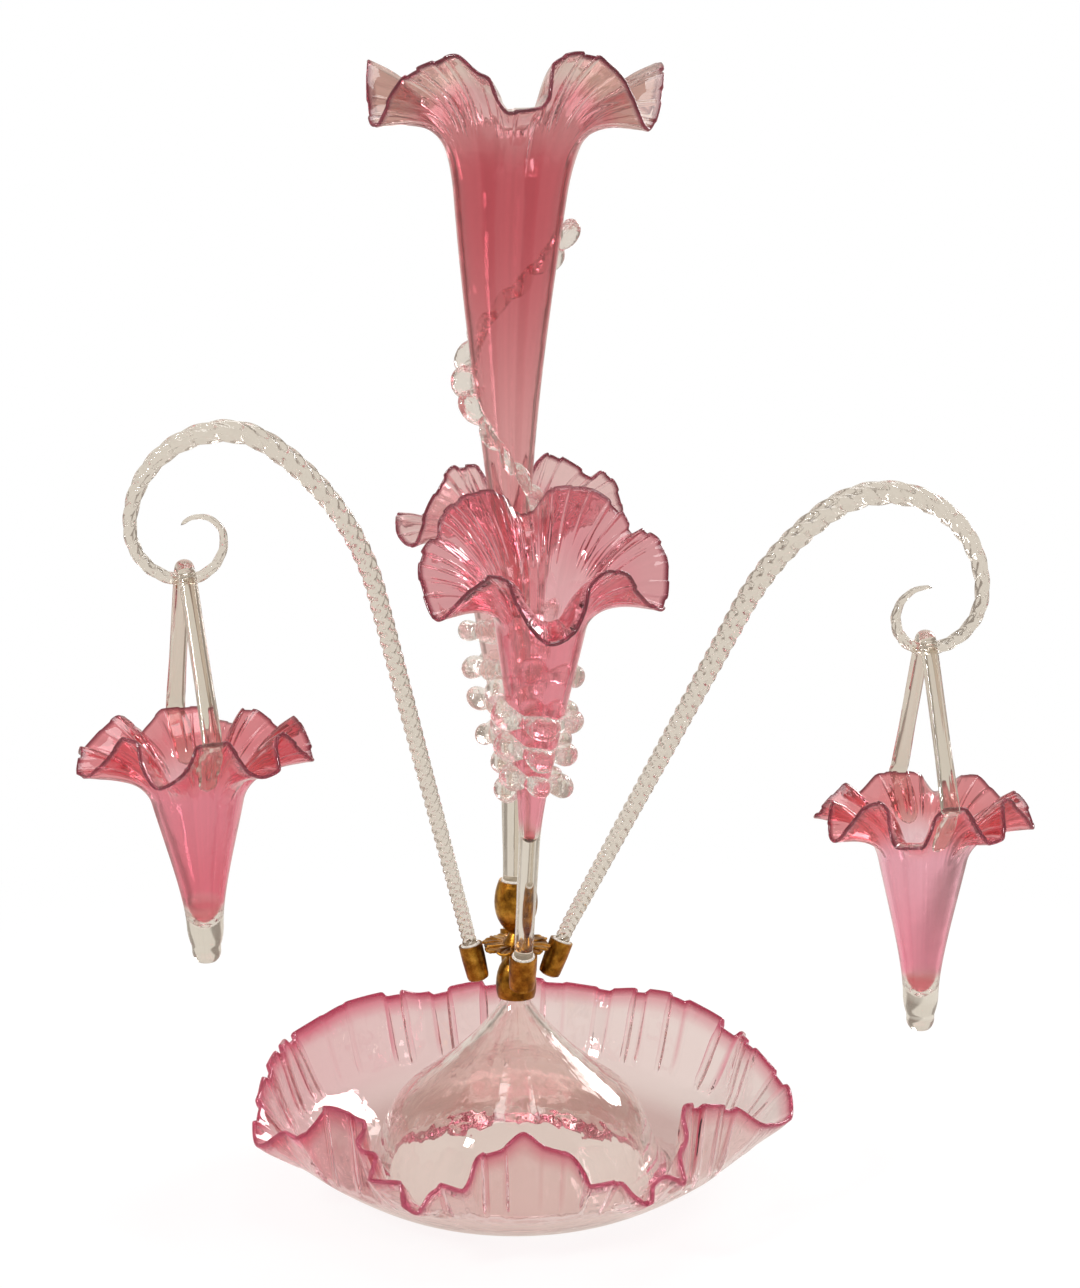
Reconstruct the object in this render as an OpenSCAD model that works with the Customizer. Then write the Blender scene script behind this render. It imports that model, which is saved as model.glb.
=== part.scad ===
// Glass flower epergne: a frilled bowl with a tall domed centre carries a brass mount with five sockets.
// A tall trumpet stands in the middle, two shorter ones lean to the front and back, and two twisted
// canes lean to the sides, each with a small hanging basket on its crook.
// X is to the right, -Y to the front and Z up. The origin is on the table under the centre line.

/* [Base bowl] */
// Radius of the middle of the ring that the bowl stands on
foot_r = 62; // [56:1:72]
// Width of the ground flat on that ring
foot_w = 5; // [3:0.5:8]
// Thickness of the bowl's glass
bowl_wall = 3; // [2:0.1:4]
// Height of the shoulder where the dome turns in to its cone
dome_shoulder = 35; // [28:1:42]
// Height of the closed tip of the dome
dome_top = 103; // [96:1:118]
// Radius of the dome's tip inside the brass cup
tip_r = 6.4; // [5.4:0.1:7]
// Radius where the plain brim ends and the frill starts
brim_r = 102; // [95:1:110]
// Height where the plain brim ends
brim_z = 26; // [20:1:30]
// Mean radius of the frilled edge
bowl_rim_r = 122; // [114:1:130]
// Mean height of the frilled edge
bowl_rim_z = 51; // [46:1:60]
// Number of large lobes round the edge
bowl_lobes = 8; // [5:1:9]
// How far a lobe rises above, and dips below, the mean edge
bowl_rise = 11; // [4:0.5:12]
// Share by which the front lobes are deeper, and the back ones shallower, than the mean
bowl_uneven = 0.4; // [0:0.05:0.5]
// How far a lobe leans in, and a dip out
bowl_sway = 6; // [0:0.5:9]
// Depth of the small crimps between lobes
bowl_crimp = 2.2; // [0:0.1:3]

/* [Brass mount] */
// Direction of the right socket, and of the rosette's first petal
right_az = 8; // [0:1:12]
// Direction of the back socket
back_az = 93; // [86:1:100]
// Direction of the left socket
left_az = 188; // [180:1:192]
// Direction of the front socket
front_az = 279; // [270:1:282]
// Radius of the round cup that is plastered over the dome's tip
cup_r = 9.3; // [9:0.1:11]
// Height of the cup from its lip to the top of its neck
cup_h = 24; // [22:0.5:28]
// Radius of the cup's neck
neck_r = 5.2; // [4.4:0.1:7]
// Radius of the stud that ties cup, rosette and holder together
stud_r = 2.4; // [1.8:0.1:3]
// Radius of the rosette to the petal tips
rosette_r = 17.2; // [17:0.1:18]
// Thickness of the rosette
rosette_t = 2.6; // [2:0.1:3.4]
// Number of petals
petals = 12; // [8:4:16]
// Radius of the ring on which the socket mouths lie
ring_r = 22; // [21.4:0.1:24]
// Largest radius of the centre holder's bulb
bulb_r = 9.3; // [9:0.1:11]
// Height of the centre holder from the rosette to its mouth
holder_h = 31; // [28:0.5:40]

/* [Sockets and stems] */
// Depth of every socket's bore
bore_depth = 16.5; // [12:0.5:18]
// Wall of the brass sockets
socket_wall = 1.05; // [0.8:0.05:1.3]
// Thickness of the plaster bush round every glass end
bush_wall = 0.95; // [0.6:0.05:1]
// How far the plaster stands proud of the mouth
bush_proud = 0.8; // [0.4:0.1:1.5]
// Running clearance between a bush and its bore
bore_gap = 0.05; // [0.02:0.01:0.1]
// Clearance under a seated bush, and between cemented pieces that are not flat
seat_gap = 0.1; // [0.05:0.05:0.3]
// Radius of the centre trumpet's solid stem
centre_stem_r = 6.2; // [5:0.1:6.2]
// Radius of the front and back trumpets' solid stems
side_stem_r = 4.5; // [3.5:0.1:4.6]
// Radius of the plain end of a cane
cane_end_r = 3.6; // [3:0.1:4]
// Lean of the front and back sockets from the vertical
side_tilt = 16; // [10:0.5:20]
// Lean of the left socket
left_tilt = 13; // [8:0.5:18]
// Lean of the right socket
right_tilt = 21; // [14:0.5:23]

/* [Centre trumpet] */
// Height of the bottom of the blown part above the holder's mouth
centre_foot = 126; // [90:1:170]
// Height of the throat above the holder's mouth
centre_throat = 322; // [280:1:360]
// Height of the mean edge above the holder's mouth
centre_rim = 368; // [350:1:400]
// Outer radius at the throat
centre_throat_r = 24.5; // [21:0.5:30]
// Mean radius of the frilled edge
centre_rim_r = 65.5; // [56:0.5:70]
// Rise and dip of the edge
centre_rise = 13; // [4:0.5:16]
// How far its lobes lean in and its dips out
centre_sway = 1; // [0:0.5:6]
// How late, and so how sharply, it opens above the throat
centre_open = 0.75; // [0.4:0.05:0.8]
// Height where the trail starts, above the bottom of the blown part
centre_trail_low = 20; // [10:1:60]
// Height where the trail ends, above the bottom of the blown part
centre_trail_high = 184; // [120:1:188]
// Turns of the trail
centre_turns = 1.25; // [1:0.25:4]

/* [Front and back trumpets] */
// Distance from the socket mouth to the bottom of the blown part
side_foot = 60; // [40:1:80]
// Distance from the socket mouth to the throat
side_throat = 176; // [150:1:190]
// Distance from the socket mouth to the mean edge
side_rim = 208; // [200:1:230]
// Outer radius at the throat
side_throat_r = 20.5; // [16:0.5:25]
// Mean radius of the frilled edge
side_rim_r = 50; // [42:0.5:54]
// Rise and dip of the edge
side_rise = 12; // [4:0.5:15]
// How far their lobes lean in and their dips out
side_sway = 5; // [0:0.5:8]
// How late, and so how sharply, they open above the throat
side_open = 0.5; // [0.4:0.05:0.8]
// Height where the trail starts, above the bottom of the blown part
side_trail_low = 33; // [12:1:40]
// Height where the trail ends, above the bottom of the blown part
side_trail_high = 100; // [60:1:105]
// Turns of the trail
side_turns = 4; // [1.5:0.25:4.5]

/* [Trumpet glass] */
// Thickness of the trumpets' and baskets' glass
bell_wall = 2.4; // [1.8:0.1:3]
// Lobes round each trumpet's edge
bell_lobes = 6; // [5:1:8]
// Depth of the small crimps on trumpets and baskets
bell_crimp = 0.7; // [0:0.1:1.2]
// Thickness of glass under the hollow
hollow_floor = 5; // [3:0.5:10]
// Radius of a trail's cord
trail_cord = 1.5; // [1:0.1:2.2]
// How far a pinched leaf stands out from the cord
trail_leaf = 6; // [2:0.5:8]
// Spacing of the pinched leaves along a trail
leaf_pitch = 14; // [10:0.5:20]
// Clearance between a trail and the glass that it is laid on
trail_gap = 0.3; // [0.2:0.05:0.5]

/* [Left cane] */
// Lean of the left cane above its socket
left_lean = 14; // [13:0.5:20]
// Length of the left cane's straight run
left_straight = 175; // [140:1:200]
// Radius of its long shoulder bend
left_shoulder = 123; // [100:1:150]
// Radius of its bend at the crown
left_crown = 35; // [30:1:60]
// Radius of its outer bend past the crown
left_outer = 43.5; // [40:1:60]
// Radius of its bend down to the crook's lowest point
left_hook = 24.5; // [22:0.5:32]
// Radius of its curl up from the lowest point
left_curl = 18; // [14:0.5:20]
// Radius of its last curl
left_tip = 11; // [9:0.5:16]
// Direction in which its tip ends, counted on from upright
left_tip_turn = 500; // [420:5:510]

/* [Right cane] */
// Lean of the right cane above its socket
right_lean = 28.5; // [22:0.5:32]
// Length of the right cane's straight run
right_straight = 170; // [140:1:200]
// Radius of its long shoulder bend
right_shoulder = 132; // [100:1:150]
// Radius of its bend at the crown
right_crown = 48; // [30:1:60]
// Radius of its outer bend past the crown
right_outer = 49; // [40:1:60]
// Radius of its bend down to the crook's lowest point
right_hook = 27; // [22:0.5:32]
// Radius of its curl up from the lowest point
right_curl = 15; // [14:0.5:20]
// Radius of its last curl
right_tip = 15; // [9:0.5:16]
// Direction in which its tip ends, counted on from upright
right_tip_turn = 460; // [420:5:510]

/* [Canes] */
// Radius of the bend just above a socket
root_bend = 80; // [50:5:160]
// Radius of a cane at its crown
cane_crown_r = 5.8; // [4.5:0.1:7]
// Radius of a cane at the outermost point
cane_outer_r = 3.6; // [3:0.1:4.5]
// Radius of a cane at the crook's lowest point
cane_hook_r = 3; // [2.4:0.1:3.4]
// Radius of a cane in the last curl
cane_curl_r = 2.2; // [1.6:0.1:3]
// Radius of a cane's blunt tip
cane_tip_r = 0.9; // [0.6:0.1:1.5]
// Twisted ribs round a cane
ribs = 4; // [3:1:6]
// Depth of the grooves, as a share of the cane's radius
rib_groove = 0.14; // [0.02:0.02:0.24]
// Length along a cane in which a rib goes once round
twist_pitch = 64; // [48:4:120]

/* [Hanging baskets] */
// Drop from the left crook's centre line to the mean edge of its basket
left_drop = 80.5; // [68:0.5:100]
// Height of the left basket from the bottom of its blown part to the mean edge
left_h = 86.5; // [75:0.5:110]
// Mean radius of the left basket's edge
left_rim_r = 51; // [42:0.5:54]
// Lean of the left basket, with its bottom towards the centre
left_hang = 1.9; // [-3:0.1:3]
// Turn of the left basket's handle across its cane
left_turn = 8; // [-10:1:10]
// Drop from the right crook's centre line to the mean edge of its basket
right_drop = 79.5; // [68:0.5:100]
// Height of the right basket from the bottom of its blown part to the mean edge
right_h = 94.5; // [75:0.5:110]
// Mean radius of the right basket's edge
right_rim_r = 48.5; // [42:0.5:54]
// Lean of the right basket, with its bottom towards the centre
right_hang = -0.7; // [-3:0.1:3]
// Turn of the right basket's handle across its cane
right_turn = 0; // [-10:1:10]
// Depth of the throat below the mean edge
throat_depth = 24; // [20:1:32]
// Outer radius at the throat
basket_throat_r = 21.5; // [17:0.5:25]
// Outer radius at the bottom of the blown part
basket_foot_r = 8.6; // [6:0.1:11]
// Lobes round the edge
basket_lobes = 8; // [6:2:10]
// Rise and dip of the edge
basket_rise = 7.5; // [3:0.5:10]
// How far lobes lean in and dips out
basket_sway = 4; // [0:0.5:6]
// Radius of the handle's glass at the top of its loop
handle_r = 3; // [2.2:0.1:3.6]
// Thickness of a handle pad
pad_t = 2.4; // [1.6:0.1:3]
// Clearance between the loop and the cane, and between a pad and the basket
handle_gap = 0.35; // [0.25:0.05:0.6]
// Height of the clear knop under a basket
knop_h = 16; // [12:0.5:22]
// Radius of the knop's ball
knop_r = 6.8; // [5:0.1:8]

/* [Hidden] */
$fn = 96;

clear_glass = [0.86, 0.84, 0.78, 0.6];
cranberry = [0.84, 0.33, 0.46, 0.75];
pale_pink = [0.93, 0.74, 0.78, 0.7];
brass = [0.58, 0.42, 0.18];
plaster = [0.93, 0.91, 0.85];

// Bores follow the glass ends that they hold
side_bore = side_stem_r + bush_wall + bore_gap;
cane_bore = cane_end_r + bush_wall + bore_gap;
centre_bore = centre_stem_r + bush_wall + bore_gap;

// Levels of the mount, counted up from the dome's tip
lip_h = 10.5;
lip_z = dome_top - lip_h;
neck_z = lip_z + cup_h;
hub_z = neck_z + rosette_t;
mouth_z = hub_z;
holder_z = hub_z + holder_h;

// Cup over the dome's tip: plaster beside and above the glass, brass lip, and solid roof under the stud
plaster_side = 1.6;
plaster_top = 0.6;
lip_wall = 0.9;
cup_roof = 4;
cup_bore = tip_r + plaster_side;
cup_roof_z = dome_top + plaster_top;
stud_len = hub_z - cup_roof_z - cup_roof;
socket_end = 1.4;

// Faceting of the blown frills, and how late the lobes grow towards the edge
rows = 5;
lobe_steps = 8;
ruffle_power = 1.6;
// Lap by which the pieces of one blown part run into each other
embed = 0.1;
// Blown bodies: slope at the throat against the mean slope, and pulls at foot and throat
throat_steepen = 1.15;
foot_pull = 0.25;
throat_pull = 0.35;
rim_pull = 0.55;

function bez(p, t) = pow(1 - t, 3) * p[0] + 3 * pow(1 - t, 2) * t * p[1]
    + 3 * (1 - t) * t * t * p[2] + pow(t, 3) * p[3];
function unit(v) = v / norm(v);
function mix(a, b, t) = a + (b - a) * t;

// A glass sheet of even thickness along a half profile: the list runs along one face and back on the other
function left_normal(path, i) = let(
        a = path[max(i - 1, 0)],
        b = path[min(i + 1, len(path) - 1)],
        d = unit(b - a))
    [-d[1], d[0]];
function sheet(path, wall) = concat(
    [for (i = [0:len(path) - 1]) path[i] + left_normal(path, i) * wall / 2],
    [for (i = [len(path) - 1:-1:0]) path[i] - left_normal(path, i) * wall / 2]);

// Middle surface of a frilled edge: a flare with lobes that grow towards its rim
function frill_point(s, t, a) = let(
        p = bez(s[0], t),
        w = pow(t, ruffle_power),
        lobe = cos(s[1] * (a - s[5])),
        crimp = cos(3 * s[1] * (a - s[5])),
        r = p[0] - s[3] * w * lobe + s[4] * w * crimp,
        z = p[1] + s[2] * w * lobe * (1 - s[6] * sin(a)))
    [r * cos(a), r * sin(a), z];
function frill_normal(s, t, a) = let(
        h = 0.01,
        round = frill_point(s, t, a + 1) - frill_point(s, t, a - 1),
        up = frill_point(s, min(t + h, 1), a) - frill_point(s, max(t - h, 0), a))
    unit(cross(round, up));
function frill_offset(s, t, a, off) = frill_point(s, t, a) + off * frill_normal(s, t, a);

// Quads of a closed tube of rings, or of a tube that ends in two flat faces
function ring_faces(n, m) = [for (i = [0:m - 1]) for (k = [0:n - 1])
    let(next = (k + 1) % n, over = ((i + 1) % m) * n, a = i * n + k, b = i * n + next,
        c = over + next, d = over + k)
    each [[a, c, b], [a, d, c]]];
function tube_faces(n, m) = concat(
    [for (i = [0:m - 2]) for (k = [0:n - 1])
        let(next = (k + 1) % n, a = i * n + k, b = i * n + next, c = b + n, d = a + n)
        each [[a, c, b], [a, d, c]]],
    [[for (k = [0:n - 1]) k]],
    [[for (k = [n - 1:-1:0]) (m - 1) * n + k]]);

// A frill is [flare curve, lobes, rise, sway, crimp, turn, unevenness]
module frill(s, wall, sunk = embed) {
    n = s[1] * lobe_steps;
    half = wall / 2 - sunk;
    outer = [for (i = [0:rows]) for (k = [0:n - 1]) frill_offset(s, i / rows, 360 * k / n + s[5], half)];
    inner = [for (i = [rows:-1:0]) for (k = [0:n - 1]) frill_offset(s, i / rows, 360 * k / n + s[5], -half)];
    polyhedron(concat(outer, inner), ring_faces(n, 2 * rows + 2), convexity = 10);
}

// Trumpet and basket outlines: foot, throat and rim are [radius, height] on the outside of the glass
function throat_slope(foot, throat) = throat_steepen * (throat[0] - foot[0]) / (throat[1] - foot[1]);
function body_curve(foot, throat) = let(h = throat[1] - foot[1], m = throat_slope(foot, throat))
    [foot, foot + [0, foot_pull * h], throat - throat_pull * h * [m, 1], throat];
function flare_curve(foot, throat, rim, open) = let(
        h = rim[1] - throat[1],
        m = throat_slope(foot, throat),
        start = throat - [bell_wall / 2, 0])
    [start, start + open * h * [m, 1], rim - rim_pull * [rim[0] - throat[0], (1 - open) / 2 * h], rim];

module bell_body(foot, throat) {
    wall = bell_wall;
    steps = 14;
    outer = [for (i = [0:steps]) bez(body_curve(foot, throat), i / steps)];
    floor_z = foot[1] + hollow_floor;
    hollow = [for (p = outer) if (p[1] > floor_z + p[0] - wall) p - [wall, 0]];
    end_r = hollow[0][0];
    end_z = hollow[0][1];
    bottom = [for (a = [0:15:75]) [end_r * sin(a), end_z - (end_z - floor_z) * cos(a)]];
    lap = [0, 2 * embed];
    rotate_extrude() polygon(concat(
        [[0, foot[1]]], outer, [throat + lap, throat - [wall, 0] + lap],
        [for (i = [len(hollow) - 1:-1:0]) hollow[i]],
        [for (i = [len(bottom) - 1:-1:0]) bottom[i]]));
}

// A cord of glass wound up the body and pinched into leaves
module trail(foot, throat, low, high, turns, from) {
    curve = body_curve(foot, throat);
    h = throat[1] - foot[1];
    mean_r = bez(curve, 0.5)[0] + trail_cord;
    leaves = ceil(norm([2 * PI * mean_r * turns, high - low]) / leaf_pitch);
    steps = 4 * leaves;
    sides = 6;
    rings = [for (i = [0:steps]) let(
            f = i / steps,
            p = bez(curve, mix(low, high, f) / h),
            a = from - 360 * turns * f,
            swell = pow(sin(180 * leaves * f), 2),
            tall = trail_cord + swell * trail_leaf / 2,
            wide = trail_cord * (1 + swell),
            r = p[0] + trail_gap + tall)
        for (k = [0:sides - 1]) let(
            q = 360 * (k + 0.5) / sides,
            rr = r + tall * cos(q),
            z = p[1] + wide * sin(q))
        [rr * cos(a), rr * sin(a), z]];
    polyhedron(rings, tube_faces(sides, steps + 1), convexity = 10);
}

// Placing: mouth of a leaning socket, with Z along its bore
module at_socket(az, tilt) {
    rotate([0, 0, az]) translate([ring_r, 0, mouth_z]) rotate([0, tilt, 0]) children();
}

// Base bowl
brim_lap = 1;
brim_sunk = 0.3;
brim_run = [8, 6];
foot_ease = 1;
edge_run = [8, 16];
function bowl_brim() = [brim_r, brim_z];
function bowl_edge() = [bowl_rim_r, bowl_rim_z];
function bowl_flare() = [bowl_brim(), bowl_brim() + brim_run, bowl_edge() - edge_run, bowl_edge()];
function bowl_frill() = [bowl_flare(), bowl_lobes, bowl_rise, bowl_sway, bowl_crimp, -90, bowl_uneven];
// Middle line of its glass, inwards from the brim: floor, dome wall, shoulder, hollow cone and tip
function bowl_path() = let(
        mid = bowl_wall / 2,
        out = foot_r + foot_w / 2,
        in = foot_r - foot_w / 2,
        side = in - 3,
        turn = [side - 7, dome_shoulder],
        waist = [0.62 * side, dome_shoulder + 12],
        tip = [tip_r - mid, lip_z - 4],
        lap = unit(brim_run) * brim_lap,
        brim = [bowl_brim(), bowl_brim() - brim_run, [out + 12, mid], [out + foot_ease, mid]],
        wall = [[in - foot_ease, mid], [in - 6, mid], turn + [9, -6], turn],
        slope = [turn, turn + [-5, 5], waist + [6, -3], waist],
        cone = [waist, waist + [-14, 7], [tip_r + 4, lip_z - 21.5], tip])
    concat([bowl_brim() + lap],
        [for (t = [0:0.125:1]) bez(brim, t)],
        [[out, mid], [in, mid]],
        [for (t = [0:0.125:1]) bez(wall, t)],
        [for (t = [0.25:0.25:1]) bez(slope, t)],
        [for (t = [0.125:0.125:1]) bez(cone, t)],
        [[tip_r - mid, dome_top - bowl_wall]]);
module base_bowl() color(pale_pink) {
    path = bowl_path();
    n = len(path);
    faces = sheet(path, bowl_wall);
    under = [for (i = [0:n - 1]) faces[i]];
    upper = [for (i = [n:2 * n - 1]) faces[i]];
    union() {
        rotate_extrude() polygon(concat(
            under, [[0, dome_top - bowl_wall], [0, dome_top], [tip_r, dome_top]], upper));
        frill(bowl_frill(), bowl_wall, brim_sunk);
    }
}

// Plaster between the dome's tip and the cup
module bowl_plaster() color(plaster)
    rotate_extrude() polygon([[tip_r, lip_z], [cup_bore, lip_z], [cup_bore, cup_roof_z],
        [0, cup_roof_z], [0, dome_top], [tip_r, dome_top]]);

// Round cup over the plaster, drawn in to a neck that is bored for the stud
module mount_cup() color(brass) {
    neck_len = 5;
    top = neck_z - neck_len;
    lip_r = cup_bore + lip_wall;
    stud_end = hub_z - stud_len - seat_gap;
    difference() {
        rotate_extrude() polygon(concat([[0, lip_z], [lip_r, lip_z]],
            [for (t = [0:0.125:1]) bez([[lip_r, lip_z], [cup_r + 1, lip_z + 4],
                [cup_r + 1, top - 5], [neck_r, top]], t)],
            [[neck_r, neck_z], [0, neck_z]]));
        translate([0, 0, lip_z - 1]) cylinder(h = cup_roof_z - lip_z + 1, r = cup_bore);
        translate([0, 0, stud_end]) cylinder(h = neck_z - stud_end + 1, r = stud_r + seat_gap);
    }
}

// Cast rosette: a low dome cut to petals, which meet the socket walls
petal_cut = 0.26;
petal_round = 0.6;
function petal_edge(a) = rosette_r
    * (1 - petal_cut + petal_cut * pow(abs(cos(petals * (a - right_az) / 2)), petal_round));
module rosette() color(brass) {
    eye = stud_r + seat_gap;
    flat_r = 7;
    past = rosette_r + 1;
    difference() {
        intersection() {
            linear_extrude(height = hub_z + 1)
                polygon([for (a = [0:2.5:357.5]) petal_edge(a) * [cos(a), sin(a)]]);
            rotate_extrude() polygon([[eye, neck_z], [flat_r, neck_z], [past, neck_z - 0.4],
                [past, hub_z - 1], [flat_r + 4, hub_z - 0.1], [flat_r, hub_z], [eye, hub_z]]);
        }
        at_socket(front_az, side_tilt) socket_space(side_bore);
        at_socket(back_az, side_tilt) socket_space(side_bore);
        at_socket(left_az, left_tilt) socket_space(cane_bore);
        at_socket(right_az, right_tilt) socket_space(cane_bore);
    }
}
// Room that a socket takes out of the petals
module socket_space(bore) {
    reach = 12;
    translate([0, 0, -reach]) cylinder(h = 2 * reach, r = bore + socket_wall);
}

// Centre holder: stud, round foot on the rosette, thin waist and bulb with the largest bore
module centre_holder() color(brass) {
    foot = 6;
    waist_r = 3.2;
    waist_z = hub_z + 5;
    mouth_r = centre_bore + lip_wall;
    bulb = [for (t = [0:0.1:1]) bez([[waist_r, waist_z], [bulb_r + 2.6, waist_z + 6.5],
        [bulb_r + 2.2, holder_z - 8], [mouth_r, holder_z]], t)];
    stud_end = hub_z - stud_len;
    difference() {
        rotate_extrude() polygon(concat(
            [[0, stud_end], [stud_r, stud_end], [stud_r, hub_z], [foot, hub_z], [foot - 0.6, hub_z + 1.6]],
            bulb, [[0, holder_z]]));
        translate([0, 0, holder_z - bore_depth]) cylinder(h = bore_depth + 1, r = centre_bore);
    }
}

// Leaning sockets: drawn tubes with closed, rounded ends
module socket(bore) {
    out = bore + socket_wall;
    end = bore_depth + socket_end;
    difference() {
        rotate_extrude() polygon([[0, -end], [out - 2, -end], [out - 0.7, 0.8 - end], [out - 0.4, 2.2 - end],
            [out, -0.4 * end], [out, 0], [0, 0]]);
        translate([0, 0, -bore_depth]) cylinder(h = bore_depth + 1, r = bore);
    }
}
module front_socket() color(brass) at_socket(front_az, side_tilt) socket(side_bore);
module back_socket() color(brass) at_socket(back_az, side_tilt) socket(side_bore);
module left_socket() color(brass) at_socket(left_az, left_tilt) socket(cane_bore);
module right_socket() color(brass) at_socket(right_az, right_tilt) socket(cane_bore);

// Plaster bush round a glass end, with Z along the bore and its mouth at zero
bush_low = seat_gap - bore_depth;
bush_floor = 1;
stem_low = bush_low + bush_floor + bore_gap;
module bush(glass_r) {
    out = glass_r + bush_wall;
    in = glass_r + bore_gap;
    rotate_extrude() polygon([[0, bush_low], [out, bush_low], [out, 0], [mix(out, in, 0.4), bush_proud],
        [in, bush_proud], [in, bush_low + bush_floor], [0, bush_low + bush_floor]]);
}

// Drawn clear stem from the bottom of the bush up to the blown part
module stem(r, top_r, top) {
    rotate_extrude() polygon(concat([[0, stem_low], [r, stem_low]],
        [for (t = [0:0.125:1]) bez([[r, top / 4], [r, top / 2], [top_r, 0.7 * top], [top_r, top]], t)],
        [[0, top]]));
}

// Centre trumpet, upright on the holder's mouth
stem_swell = 0.4;
centre_foot_r = centre_stem_r + stem_swell;
function centre_low() = [centre_foot_r, centre_foot];
function centre_high() = [centre_throat_r, centre_throat];
module at_centre() translate([0, 0, holder_z]) children();
module centre_bell() color(cranberry) at_centre() union() {
    bell_body(centre_low(), centre_high());
    frill([flare_curve(centre_low(), centre_high(), [centre_rim_r, centre_rim], centre_open),
        bell_lobes, centre_rise, centre_sway, bell_crimp, 0, 0], bell_wall);
}
module centre_stem() color(clear_glass) at_centre() stem(centre_stem_r, centre_foot_r, centre_foot);
module centre_trail() color(clear_glass) at_centre()
    trail(centre_low(), centre_high(), centre_trail_low, centre_trail_high, centre_turns, 90);
module centre_bush() color(plaster) at_centre() bush(centre_stem_r);

// Front and back trumpets
side_foot_r = side_stem_r + stem_swell;
function side_low() = [side_foot_r, side_foot];
function side_high() = [side_throat_r, side_throat];
module side_bell() union() {
    bell_body(side_low(), side_high());
    frill([flare_curve(side_low(), side_high(), [side_rim_r, side_rim], side_open),
        bell_lobes, side_rise, side_sway, bell_crimp, 180 / bell_lobes, 0], bell_wall);
}
module side_trail(from) trail(side_low(), side_high(), side_trail_low, side_trail_high, side_turns, from);
module front_bell() color(cranberry) at_socket(front_az, side_tilt) side_bell();
module back_bell() color(cranberry) at_socket(back_az, side_tilt) side_bell();
module side_stem() stem(side_stem_r, side_foot_r, side_foot);
module front_stem() color(clear_glass) at_socket(front_az, side_tilt) side_stem();
module back_stem() color(clear_glass) at_socket(back_az, side_tilt) side_stem();
module front_trail() color(clear_glass) at_socket(front_az, side_tilt) side_trail(60);
module back_trail() color(clear_glass) at_socket(back_az, side_tilt) side_trail(240);
module front_bush() color(plaster) at_socket(front_az, side_tilt) bush(side_stem_r);
module back_bush() color(plaster) at_socket(back_az, side_tilt) bush(side_stem_r);

// Canes: tangent bends in one upright plane, as runs of [from, to, radius]
// A run whose two directions agree is straight, and its third value is a length
crown_from = 55;
function cane_runs(tilt, lean, straight, shoulder, crown, outer, hook, curl, tip, turn) = [
    [tilt, lean, root_bend], [lean, lean, straight], [lean, crown_from, shoulder], [crown_from, 90, crown],
    [90, 180, outer], [180, 270, hook], [270, 360, curl], [360, turn, tip]];
left_runs = cane_runs(left_tilt, left_lean, left_straight, left_shoulder, left_crown, left_outer, left_hook,
    left_curl, left_tip, left_tip_turn);
right_runs = cane_runs(right_tilt, right_lean, right_straight, right_shoulder, right_crown, right_outer,
    right_hook, right_curl, right_tip, right_tip_turn);
function run_length(g) = g[0] == g[1] ? g[2] : g[2] * (g[1] - g[0]) * PI / 180;
function run_point(g, f) = g[0] == g[1] ? g[2] * f * [sin(g[0]), cos(g[0])]
    : let(a = mix(g[0], g[1], f)) g[2] * [cos(g[0]) - cos(a), sin(a) - sin(g[0])];
function run_end(runs, n) = n == 0 ? [0, 0] : run_end(runs, n - 1) + run_point(runs[n - 1], 1);
function run_sum(runs, n) = n == 0 ? 0 : run_sum(runs, n - 1) + run_length(runs[n - 1]);
// Stations as [out, up, direction, length], with closer rings in tighter bends
ring_step = 7;
ring_turn = 15;
function run_steps(g) = ceil(max(run_length(g) / ring_step, (g[1] - g[0]) / ring_turn));
function stations(runs) = [for (i = [0:len(runs) - 1]) let(
        g = runs[i],
        at = run_end(runs, i),
        sum = run_sum(runs, i),
        n = run_steps(g))
    for (k = [1:n]) let(f = k / n, p = at + run_point(g, f))
        [p[0], p[1], mix(g[0], g[1], f), sum + run_length(g) * f]];
function cane_radius(runs, s) = lookup(s, [[0, cane_end_r], [run_sum(runs, 3), cane_crown_r],
    [run_sum(runs, 4), cane_crown_r], [run_sum(runs, 5), cane_outer_r], [run_sum(runs, 6), cane_hook_r],
    [run_sum(runs, 7), cane_curl_r], [run_sum(runs, 8), cane_tip_r]]);
function hook_point(runs) = run_end(runs, 6);

module cane(az, runs) {
    line = stations(runs);
    tilt = runs[0][0];
    sides = 2 * ribs;
    rings = [for (p = line) for (k = [0:sides - 1]) let(
            r = cane_radius(runs, p[3]) * (k % 2 == 0 ? 1 : 1 - rib_groove),
            q = 360 * (k / sides + p[3] / twist_pitch))
        [p[0] + r * cos(q) * cos(p[2]), r * sin(q), p[1] - r * cos(q) * sin(p[2])]];
    plain_end = 10;
    union() {
        at_socket(az, tilt) translate([0, 0, stem_low]) cylinder(h = plain_end - stem_low, r = cane_end_r);
        rotate([0, 0, az]) translate([ring_r, 0, mouth_z])
            polyhedron(rings, tube_faces(sides, len(line)), convexity = 10);
    }
}
module left_cane() color(clear_glass) cane(left_az, left_runs);
module right_cane() color(clear_glass) cane(right_az, right_runs);
module left_bush() color(plaster) at_socket(left_az, left_tilt) bush(cane_end_r);
module right_bush() color(plaster) at_socket(right_az, right_tilt) bush(cane_end_r);

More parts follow.
